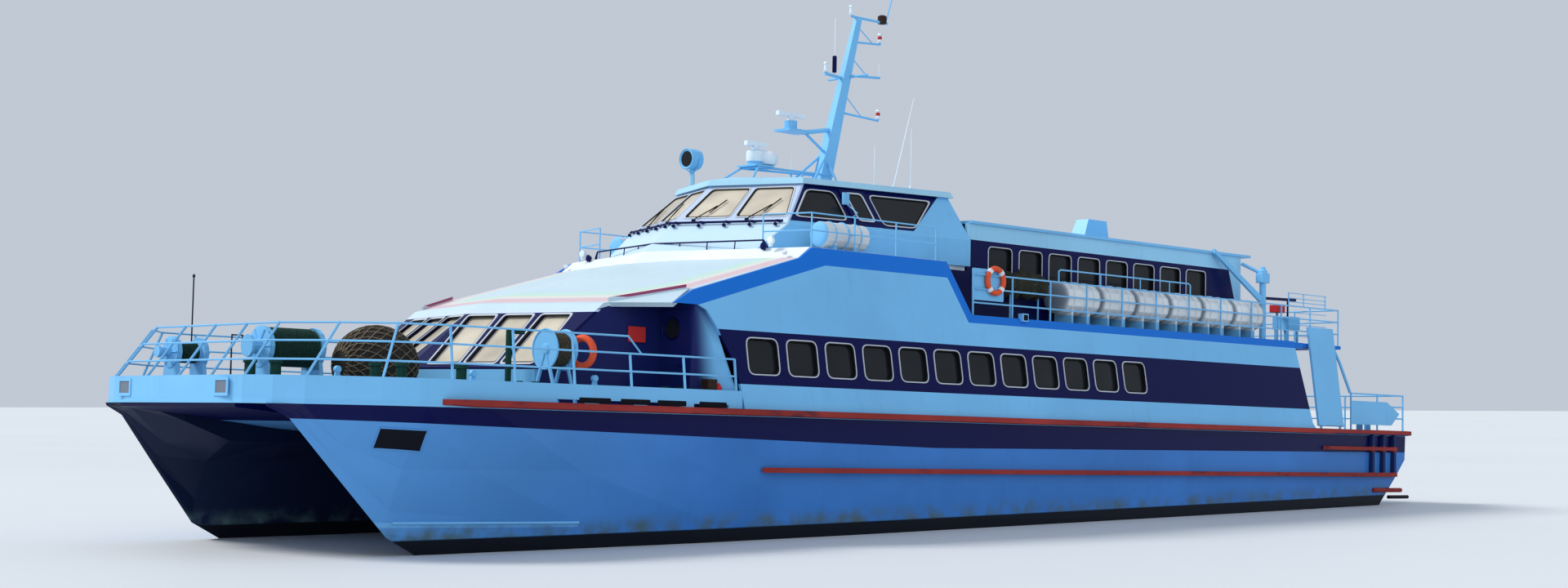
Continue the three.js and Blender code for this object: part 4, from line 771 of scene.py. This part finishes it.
def house_panes():
    """Panes of the wheelhouse windows."""
    dark = Form()
    for outline in HOUSE_SIDE_WINDOWS:
        dark.slab(rounded(outline, 0.12), on_house_side, -0.035, -0.027)
    dark.mirrored().done("house_side_panes", "dark_glass")
    sand = Form()
    for outline in HOUSE_FRONT_WINDOWS:
        sand.slab(rounded(outline, 0.07), on_house_facet, -0.045, -0.037)
    sand.mirrored().done("house_front_panes", "sand_glass")


WIPER_RADIUS = 0.014
WASHER_Z = 7.14


def facet(side, a, b, h):
    return both_sides(on_house_facet(a, b, h), side)


def wheelhouse_fittings():
    """Wipers, washer bar, the rail along the deck's front edge, deck lamps and side mirrors."""
    dark = Form()
    for outline in HOUSE_FRONT_WINDOWS:
        (a0, low), (a1, _) = outline[:2]
        for side in SIDES:
            a, b = a0 + 0.30 * (a1 - a0), low - 0.09
            c, d = a0 + 0.52 * (a1 - a0), low + 0.30
            dark.path([facet(side, a, b, 0.03), facet(side, a + 0.03, b + 0.06, 0.07),
                       facet(side, c, d, 0.05)], WIPER_RADIUS, 6)
            dark.path([facet(side, c - 0.05, d - 0.18, 0.03), facet(side, c + 0.07, d + 0.16, 0.03)],
                      WIPER_RADIUS, 6)
            dark.bar(facet(side, a, b, -0.01), facet(side, a, b, 0.07), 0.035, 10)
    dark.done("wipers", "black")
    bar = Form()
    for side in SIDES:
        bar.path([facet(side, a, WASHER_Z, 0.10) for a in (0.0, 2.75)], 0.028)
        for k in range(5):
            a = 0.15 + 0.62 * k
            bar.bar(facet(side, a, WASHER_Z, -0.01), facet(side, a, WASHER_Z, 0.13), 0.035)
            bar.lathe(facet(side, a, WASHER_Z - 0.07, 0.10), UP,
                      ((-0.05, 0.02), (-0.04, 0.045), (0.0, 0.05), (0.03, 0.02)), 10)
    bar.done("washer_bar", "navy")
    edge = Form()
    for side in SIDES:
        spots = [Vector((6.66 - 0.258 * y, side * y, 6.40)) for y in (0.0, 0.75, 1.5, 2.25, 3.0)]
        lift = Vector((-0.02, 0, 0.20))
        edge.path([p + lift for p in spots], 0.020)
        for p in spots[1:]:
            edge.bar(p, p + lift, 0.014)
        edge.path([spots[-1] + lift, spots[-1] + Vector((-0.05, side * 0.12, 0.02))], 0.020)
        edge.lathe((5.94, side * 3.16, 6.44), AHEAD,
                   ((0, 0.03), (0.02, 0.06), (0.10, 0.09), (0.11, 0.02)), 12)
        edge.lathe((5.98, side * 3.16, 6.30), UP, ((0, 0.05), (0.02, 0.02), (0.12, 0.02)), 8)
    edge.done("front_grab_rail", "navy")
    lamps = Form()
    for side in SIDES:
        lamps.lathe((6.02, side * 3.40, 6.42), UP, ((0, 0.05), (0.08, 0.05)), 10)
        lamps.lathe((5.93, side * 3.40, 6.56), AHEAD,
                    ((0, 0.04), (0.03, 0.08), (0.09, 0.10), (0.12, 0.09), (0.13, 0.03)), 18)
        lamps.lathe((6.10, side * 3.95, 6.20), UP, ((0, 0.04), (0.06, 0.07), (0.10, 0.03)), 12)
    lamps.done("deck_lamps", "white")
    mirror = Form()
    for side in SIDES:
        p = on_house_side(2.98, 7.36, 0.10)
        q = on_house_side(3.02, 7.92, 0.30)
        mirror.path([(p.x, side * p.y, p.z), (p.x, side * (p.y + 0.16), p.z + 0.1),
                     (q.x, side * q.y, q.z - 0.2)], 0.018, 6)
        mirror.block(q.x - 0.10, q.x + 0.10, side * q.y - 0.03, side * q.y + 0.03, q.z - 0.24, q.z + 0.05)
    mirror.done("side_mirrors", "sky", bevel=0.01)


def hull_side(x, z, out=0.0):
    """The point of the port hull's outer side at this place along and up."""
    hit, place, _, _ = NODES["hull_port"].ray_cast(Vector((x, 8.0, z)), Vector((0, -1, 0)))
    return place + Vector((0, out, 0)) if hit else Vector((x, HALF_BEAM + out, z))


def on_bow(a, b, h):
    return 19.10 + h, a, b


def bow_fittings():
    """Fairlead frames, anchor pockets, freeing slots, spray ledges, low strakes and transom pipes."""
    rims, darks = Form(), Form()
    for y in (-1.90, 1.90):
        outer = rectangle(y - 0.26, y + 0.26, 2.63, 2.99)
        inner = rectangle(y - 0.20, y + 0.20, 2.69, 2.93)
        rims.frame(outer, inner, on_bow, -0.004, 0.022)
        darks.slab(inner, on_bow, -0.004, 0.006)
    rims.done("bow_fairlead_frames", "sky", bevel=0.004)
    darks.done("bow_fairlead_plates", "grey")
    pocket = ((17.16, 2.08), (16.27, 2.05), (16.25, 1.64), (17.10, 1.69))
    # Painted shade: each anchor pocket is a flat near-black sheet laid just proud of the hull, standing for
    # the shade inside the pocket
    hole, lip = Form(), Form()
    rows = []
    for k in range(5):
        t = k / 4
        start = Vector(pocket[0]).lerp(Vector(pocket[3]), t)
        end = Vector(pocket[1]).lerp(Vector(pocket[2]), t)
        rows.append([start.lerp(end, i / 8) for i in range(9)])
    border = rows[0] + [row[-1] for row in rows[1:]] + rows[-1][-2::-1] + [row[0] for row in rows[-2:0:-1]]
    for side in SIDES:
        grid = [[hole.bm.verts.new(both_sides(hull_side(*p, 0.02), side)) for p in row] for row in rows]
        for a, b in zip(grid, grid[1:]):
            for i in range(8):
                hole.bm.faces.new((a[i], a[i + 1], b[i + 1], b[i]))
        lip.path([both_sides(hull_side(*p, 0.012), side) for p in border + border[:1]], 0.016, 6)
    hole.done("anchor_pocket_shade", "pit")
    lip.done("anchor_pocket_lips", "hull")
    # Painted shade: each freeing slot is a flat near-black sheet on the side, standing for the shade seen
    # through the opening
    slots = Form()
    for x0, x1 in ((12.81, 11.98), (11.72, 10.92), (10.72, 9.92), (9.55, 8.76)):
        for side in SIDES:
            slots.slab(rounded(rectangle(x1, x0, 2.67, 2.78), 0.03),
                       lambda a, b, h: (a, side * (HALF_BEAM + h), b), -0.004, 0.005)
    slots.done("freeing_slot_shade", "pit")
    ledge, low = Form(), Form()
    for side in SIDES:
        ledge.path([both_sides(hull_side(12.3 + 0.34 * k, 0.24, 0.012), side) for k in range(13)], 0.028, 6)
        low.path([both_sides(hull_side(-18.80 + 0.24 * k, 0.89, 0.02), side) for k in range(7)], 0.065)
    ledge.done("spray_ledges", "sky")
    low.done("low_strakes", "red")
    pipes = Form()
    for side in SIDES:
        pipes.lathe((-18.9, side * 4.55, 0.67), (-1, 0, 0),
                    ((0, 0.055), (1.10, 0.055), (1.11, 0.045), (1.05, 0.04)), 12)
    pipes.done("transom_pipes", "black")


LIFE_RING_RADIUS = 0.30


def turns(start, pitch, radius, swell, count):
    """Profile of rope wound on a drum."""
    return [(start + pitch * k, radius + swell * (k % 2)) for k in range(count)]


def deck_gear():
    """Cheeks and rope of the winches and reel, life rings, staff, bollards and brackets."""
    cheeks = Form()
    for x, y, z, half, cheek in ((16.5, 0.0, 3.70, 0.56, 0.43), (17.9, -1.65, 3.56, 0.26, 0.33)):
        for end in (-1, 1):
            at = x + end * (half + 0.04)
            profile = ((0, 0.97), (0.012, 1.0), (0.02, 0.9), (0.03, 0.35), (0.10, 0.30))
            cheeks.lathe((at + end * 0.046, y, z), (end, 0, 0),
                         [(d, cheek * r) for d, r in profile] + [(0.11, 0.04)], 24)
            for out in fan(Vector((0, 1, 0)), Vector(UP), 6):
                a = Vector((at + end * 0.07, y, z)) + out * cheek * 0.3
                cheeks.bar(a, a + out * cheek * 0.62, 0.022, 6)
    cheeks.done("winch_cheeks", "sky")
    wound = Form()
    wound.lathe((16.0, 0, 3.70), AHEAD, turns(0.02, 0.02, 0.392, 0.012, 49), 24)
    wound.lathe((17.68, -1.65, 3.56), AHEAD, turns(0.01, 0.02, 0.212, 0.010, 22), 18)
    wound.done("winch_rope", "dark_rope")
    Form().lathe((12.56, 4.10, 3.76), AHEAD, turns(0.01, 0.026, 0.345, 0.014, 15), 22).done(
        "reel_rope", "rope")
    discs = Form()
    for end in (-1, 1):
        at = Vector((12.75 + end * 0.235, 4.10, 3.76))
        discs.lathe(at, (end, 0, 0), ((-0.02, 0.30), (-0.02, 0.40), (0.0, 0.42), (0.02, 0.40), (0.02, 0.30),
                                      (0.014, 0.12), (0.05, 0.10), (0.06, 0.03)), 26)
        discs.ring(at + Vector((end * 0.02, 0, 0)), AHEAD, 0.41, 0.02, 30, 8)
    discs.done("reel_cheeks", "sky")
    ring = Form()
    ring.ring((12.30, 4.42, 3.72), (1, 0.25, 0), 0.29, 0.075, 32, 12)
    bands = Form()
    for side in SIDES:
        centre = Vector((-0.65, side * 4.47, 6.02))
        ring.ring(centre, (0, 1, 0), LIFE_RING_RADIUS, 0.072, 32, 12)
        for k in range(4):
            angle = math.pi * (0.25 + 0.5 * k)
            out = Vector((math.cos(angle), 0, math.sin(angle)))
            bands.lathe(centre + LIFE_RING_RADIUS * out, (-out.z, 0, out.x),
                        ((-0.05, 0.078), (0.05, 0.078)), 12)
    ring.done("life_rings", "orange")
    bands.done("life_ring_bands", "white")
    posts = Form()
    posts.path([(17.1, -1.2, 2.6), (17.1, -1.2, 3.96), (16.85, -1.2, 3.96), (16.85, -1.2, 3.78)], 0.022, 6)
    posts.bar((17.58, -2.0, 2.6), (17.58, -2.0, 5.15), 0.016, 6)
    posts.lathe((17.58, -2.0, 5.15), UP, ((0, 0.016), (0.03, 0.035), (0.07, 0.02), (0.08, 0.004)), 8)
    posts.done("bow_posts", "steel")
    green = Form()
    for x, y in ((15.75, 2.1), (15.30, 2.35), (14.1, 2.75), (17.9, 0.9), (17.5, 1.2)):
        green.lathe((x, y, 2.6), UP, ((0, 0.16), (0.03, 0.16), (0.04, 0.11), (0.72, 0.11),
                                      (0.73, 0.14), (0.80, 0.14), (0.81, 0.05)), 14)
    green.done("bollards", "green")
    brackets = Form()
    for x, y in ((15.2, 4.62), (12.2, 4.70), (17.6, 3.55)):
        brackets.prism([(x - 0.16, y, 2.62), (x + 0.16, y, 2.62), (x + 0.03, y, 3.20), (x - 0.03, y, 3.20)],
                       (0, 0.05, 0))
        brackets.lathe((x, y - 0.02, 3.18), (0, 1, 0),
                       ((0, 0.04), (0.0, 0.07), (0.09, 0.07), (0.09, 0.04)), 12)
    brackets.done("deck_brackets", "sky", bevel=0.006)


def net_fender():
    """Tyre-skinned fender in a knotted net, in place of the plain solid."""
    centre, long, wide = Vector((14.75, 0.6, 3.40)), 0.92, 0.82
    shape = Form()

    def on(t, angle, grow=0.0):
        r = math.sin(t) * (wide + grow)
        p = centre + Vector(((long + grow) * math.cos(t), r * math.cos(angle), r * math.sin(angle)))
        p.z = max(p.z, 2.602)
        return p

    rows = 14
    shape.skin([[on(math.pi * (0.03 + 0.94 * k / rows), 2 * math.pi * i / 24,
                    0.018 * math.sin(3 * k) * math.cos(5 * i)) for i in range(24)] for k in range(rows + 1)])
    body = shape.done("netted_fender", "tyre", smooth=60)
    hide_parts("net_fender")
    net = Form()
    strands = 22
    for turn in (1, -1):
        for s in range(strands):
            points = []
            for k in range(19):
                t = math.pi * (0.10 + 0.80 * k / 18)
                angle = 2 * math.pi * s / strands + turn * 1.9 * k / 18
                p = on(t, angle, 0.014)
                if p.z > 2.64:
                    points.append(p)
            if len(points) > 3:
                net.path(points, 0.013, 4)
    net.done("fender_net", "net")


def upper_deck_fittings():
    """Raft bands and ends, the guard over the rafts, aft rails, boom, boxes and the covered bundles."""
    bands, ends = Form(), Form()
    spots = [(RAFT_X - RAFT_PITCH * k, RAFT_Y, RAFT_Z, RAFT_RADIUS, 1.34) for k in range(6)]
    spots.append((*BRIDGE_RAFT, 0.30, 1.40))
    for x, y, z, r, long in spots:
        for side in SIDES:
            for dx in (-0.30, 0.0, 0.30):
                thick = 0.016 if dx else 0.024
                bands.ring((x + dx * long, side * y, z), AHEAD, r + 0.004, thick, 24, 6)
            for end in (-1, 1):
                ends.lathe((x + end * (long / 2 - 0.002), side * y, z), (end, 0, 0),
                           ((0, r), (0.02, r * 0.96), (0.045, r * 0.82), (0.06, r * 0.5), (0.064, 0.02)), 20)
    bands.done("raft_bands", "raft")
    ends.done("raft_ends", "raft")
    guard = Form()
    for side in SIDES:
        y = side * 4.43
        guard.path([(x, y, z) for x, z in ((-3.17, 6.15), (-3.17, 6.43), (-3.25, 6.47), (-8.77, 6.47),
                                           (-8.85, 6.43), (-8.85, 6.15))], 0.020)
        for x in (-4.9, -6.6, -7.9):
            guard.bar((x, y, 6.14), (x, y, 6.47), 0.016, 6)
        for x in (-13.65, -14.42, -15.55):
            guard.bar((x, y, 6.14), (x, y, 6.52), 0.018, 6)
        for z in (6.52, 6.38, 6.27, 5.97, 5.62, 5.30):
            guard.bar((-13.62, y, z), (-15.60, y, z), 0.012, 6)
        guard.path([(-15.98, side * 4.40, 5.12), (-16.05, side * 4.62, 4.6),
                    (-16.18, side * 4.90, 3.72)], 0.045)
    guard.done("raft_guard", "sky")
    plates = Form()
    for side in SIDES:
        plates.slab(rounded(rectangle(-1.05, 0.14, 5.52, 6.30), 0.05),
                    lambda a, b, h: (a, side * (4.40 + h), b), -0.012, 0.004)
        plates.block(-1.72, -1.50, side * 4.50, side * 4.66, 5.06, 5.26)
        plates.block(-15.30, -14.70, side * 3.20, side * 3.75, 5.55, 5.92)
        plates.block(-14.54, -14.48, side * 3.45, side * 3.51, 5.10, 6.03)
        for x in (-15.25, -14.75):
            for y in (3.24, 3.65):
                plates.block(x - 0.03, x + 0.03, side * y, side * (y + 0.06), 5.10, 5.56)
    plates.done("deck_panels", "sky", bevel=0.006)
    dark = Form()
    for side in SIDES:
        dark.slab(rounded(rectangle(-1.69, -1.53, 5.09, 5.23), 0.02),
                  lambda a, b, h: (a, side * (4.66 + h), b), -0.002, 0.004)
    dark.done("box_lamp_faces", "pit")
    edge = Form()
    for side in SIDES:
        edge.prism([(x, side * y, 5.10) for x, y in rectangle(-9.4, -14.2, 4.50, 4.56)], (0, 0, -0.16))
    edge.done("deck_edge_shelf", "bright")
    boom = Form()
    boom.path([(-14.30, 3.0, 6.46), (-16.20, 3.0, 6.50)], 0.045, 10)
    for x in (-14.6, -15.8):
        boom.bar((x, 3.0, 5.1), (x, 3.0, 6.46), 0.03)
    boom.done("awning_boom", "navy")
    red = Form()
    red.block(-14.72, -14.30, 3.35, 3.62, 6.02, 6.24)
    for side in SIDES:
        red.block(9.80, 10.28, side * 3.452, side * 3.505, 4.04, 4.38)
        red.lathe((8.82, side * 4.78, 2.60), UP, ((0, 0.085), (0.50, 0.085), (0.56, 0.05), (0.60, 0.02)), 14)
    red.done("red_boxes", "red_box", bevel=0.012)
    chests = Form()
    for side in SIDES:
        chests.block(8.95, 9.20, side * 4.66, side * 4.88, 2.60, 3.22)
        chests.block(8.94, 9.21, side * 4.65, side * 4.89, 3.20, 3.27)
    chests.done("deck_chests", "brown", bevel=0.01)
    for side in SIDES:
        bundle = Form()
        loops = []
        for k in range(25):
            x = -1.55 - 1.55 * k / 24
            swell = 0.29 + 0.05 * math.sin(4.1 * k / 3) + 0.03 * math.sin(k * 2.7)
            if k in (0, 24):
                swell *= 0.45
            sag = 0.04 * math.sin(k * 0.8)
            loops.append([(x, side * (3.98 + 0.85 * swell * math.cos(a)),
                           6.02 + sag + swell * math.sin(a) * (1.0 + 0.12 * math.sin(3 * a + k)))
                          for a in [2 * math.pi * i / 18 for i in range(18)]])
        bundle.skin(loops)
        made_bundle = bundle.done("covered_bundle_" + BODY_END[side], "cover", smooth=70)
    stand = Form()
    for side in SIDES:
        for x in (-1.80, -2.90):
            stand.bar((x, side * 3.98, 5.1), (x, side * 3.98, 5.86), 0.022)
            stand.path([(x, side * y, z) for y, z in
                        ((3.80, 5.98), (3.86, 5.84), (4.10, 5.84), (4.16, 5.98))], 0.018, 6)
    stand.done("bundle_stands", "sky")


def mast_fittings():
    """Lamps, antennas, radome and legs of the mast, the davit heads, the searchlight's glass and hood."""
    white = Form()
    white.lathe((3.02, 0.10, 8.80), UP,
                ((0, 0.10), (0.05, 0.22), (0.16, 0.27), (0.28, 0.25), (0.38, 0.15), (0.42, 0.02)), 20)
    for x, z in ((0.02, 13.09), (0.92, 11.48), (-1.06, 10.47), (-1.08, 12.50)):
        white.lathe((x, 0, z), UP,
                    ((0, 0.05), (0.05, 0.07), (0.06, 0.045), (0.20, 0.045), (0.21, 0.07), (0.26, 0.04)), 12)
    white.lathe((3.35, 0, 9.20), UP, ((-0.30, 0.215), (-0.27, 0.225), (-0.05, 0.225), (-0.03, 0.20)), 20)
    white.done("mast_lamps", "white")
    lights = Form()
    for x, z in ((-1.06, 10.57), (-1.08, 12.60)):
        lights.lathe((x, 0, z), UP, ((0, 0.050), (0.01, 0.056), (0.07, 0.056), (0.08, 0.05)), 12)
    lights.done("mast_light_glass", "red_box")
    whips = Form()
    whips.bar((0.60, 0.0, 11.46), (0.60, 0.0, 12.93), 0.012, 6)
    whips.bar((-1.07, 0.0, 11.55), (-1.07, 0.0, 11.95), 0.012, 6)
    for base, tip in (((0.62, 1.5, 8.20), (0.62, 1.5, 9.50)), ((0.52, 2.0, 8.15), (-0.27, 2.0, 10.75)),
                      ((0.02, 2.2, 8.15), (0.02, 2.2, 9.92)), ((0.62, -1.5, 8.20), (0.62, -1.5, 9.50))):
        whips.bar(base, tip, 0.020, 6, 0.008)
        whips.lathe(base, Vector(tip) - Vector(base), ((0, 0.04), (0.30, 0.035), (0.32, 0.02)), 8)
    whips.done("whip_antennas", "white")
    Form().lathe((0.60, 0, 11.50), UP, ((0, 0.05), (0.02, 0.06), (0.42, 0.06), (0.44, 0.03)), 10).done(
        "horn_tube", "navy")
    Form().lathe((-1.16, 0, 13.02), UP, ((0, 0.09), (0.02, 0.12), (0.20, 0.12), (0.23, 0.08)), 16).done(
        "mast_head_drum", "brown")
    legs = Form()
    for side in SIDES:
        legs.bar((1.85, side * 0.50, 8.42), (0.98, side * 0.11, 9.28), 0.035)
        legs.bar((0.95, side * 0.62, 8.42), (0.92, side * 0.12, 9.15), 0.030)
    legs.block(2.90, 3.12, -0.10, 0.24, 8.75, 8.80)
    legs.done("mast_legs", "sky")
    for side in SIDES:
        head = Form()
        head.block(-12.78, -12.42, side * 4.13, side * 4.37, 6.74, 7.02)
        head.lathe((-12.60, side * 4.25, 7.0), UP,
                   ((0, 0.13), (0.10, 0.13), (0.12, 0.08), (0.20, 0.07), (0.21, 0.02)), 14)
        head.done("davit_head_" + BODY_END[side], "sky", body="davit_arm_" + BODY_END[side], bevel=0.015)
    Form().lathe((4.292, -1.5, 8.994), AHEAD, ((0, 0.20), (0.006, 0.20), (0.007, 0.02)), 24).done(
        "searchlight_glass", "dark_glass", body="searchlight")
    hood = Form()
    hood.lathe((4.25, -1.5, 8.994), AHEAD, ((0.0, 0.262), (0.06, 0.268), (0.075, 0.25), (0.045, 0.215)), 28)
    hood.ring((4.05, -1.5, 8.994), AHEAD, 0.262, 0.012, 28, 6)
    hood.path([(4.10, y, z) for y, z in ((-1.22, 8.994), (-1.235, 8.80), (-1.38, 8.70), (-1.62, 8.70),
                                         (-1.765, 8.80), (-1.78, 8.994))], 0.022, 6)
    hood.done("searchlight_hood", "sky", body="searchlight")


# The sliding door's outer face over the wheelhouse side, measured across the ship
DOOR_FACE = 0.046 * 1.24


def door_fittings():
    """Portholes, handles and panes of the doors, and the hatch handle."""
    for side in SIDES:
        end = BODY_END[side]
        port = Form()
        port.ring((9.354, side * 3.86, 4.36), AHEAD, 0.235, 0.020, 28, 8)
        port.path([(x, side * y, 3.55) for x, y in ((9.35, 4.22), (9.40, 4.22), (9.40, 4.10))], 0.012, 6)
        port.done("alcove_porthole_" + end, "navy", body="alcove_door_" + end)
        Form().lathe((9.349, side * 3.86, 4.36), AHEAD, ((0, 0.22), (0.006, 0.22), (0.0065, 0.02)), 24).done(
            "alcove_pane_" + end, "dark_glass", body="alcove_door_" + end)
        outline = rectangle(2.30, 2.78, 7.31, 8.01)

        def leaf(a, b, h):
            return both_sides(on_house_side(a, b, h + DOOR_FACE), side)
        outer, inner = rounded(shrunk(outline, -0.02), 0.12), rounded(shrunk(outline, 0.02), 0.10)
        Form().frame(outer, inner, leaf, -0.004, 0.012).done(
            "sliding_door_frame_" + end, "frame", body="wheelhouse_door_" + end)
        Form().slab(rounded(shrunk(outline, 0.015), 0.10), leaf, -0.030, -0.022).done(
            "sliding_door_pane_" + end, "dark_glass", body="wheelhouse_door_" + end)
    for name, x, y, z, centre_y in (("saloon_door", -13.83, 0.36, 3.65, 0.0),
                                    ("cabin_door", -12.53, -0.64, 6.05, -0.98)):
        corners = rectangle(x, x - 0.05, z - 0.10, z + 0.10)
        Form().path([(a, y, b) for a, b in corners], 0.012, 6).done(name + "_handle", "steel", body=name)
        light = Form()
        outline = rounded(rectangle(centre_y - 0.20, centre_y + 0.20, z + 0.30, z + 0.85), 0.08)
        light.slab(outline, lambda a, b, h: (x - h, a, b), -0.006, 0.006)
        light.done(name + "_light", "dark_glass", body=name)
    corners = ((-1.40, 2.75), (-1.40, 2.80), (-1.20, 2.80), (-1.20, 2.75))
    Form().path([(15.18, y, z) for y, z in corners], 0.012, 6).done(
        "hatch_handle", "steel", body="foredeck_hatch")


make_camera()
make_stage()
make_light()
LOOKS = dress_nodes()
for build in (window_frames, house_panes, wheelhouse_fittings, bow_fittings, deck_gear, net_fender,
              upper_deck_fittings, mast_fittings, door_fittings):
    build()
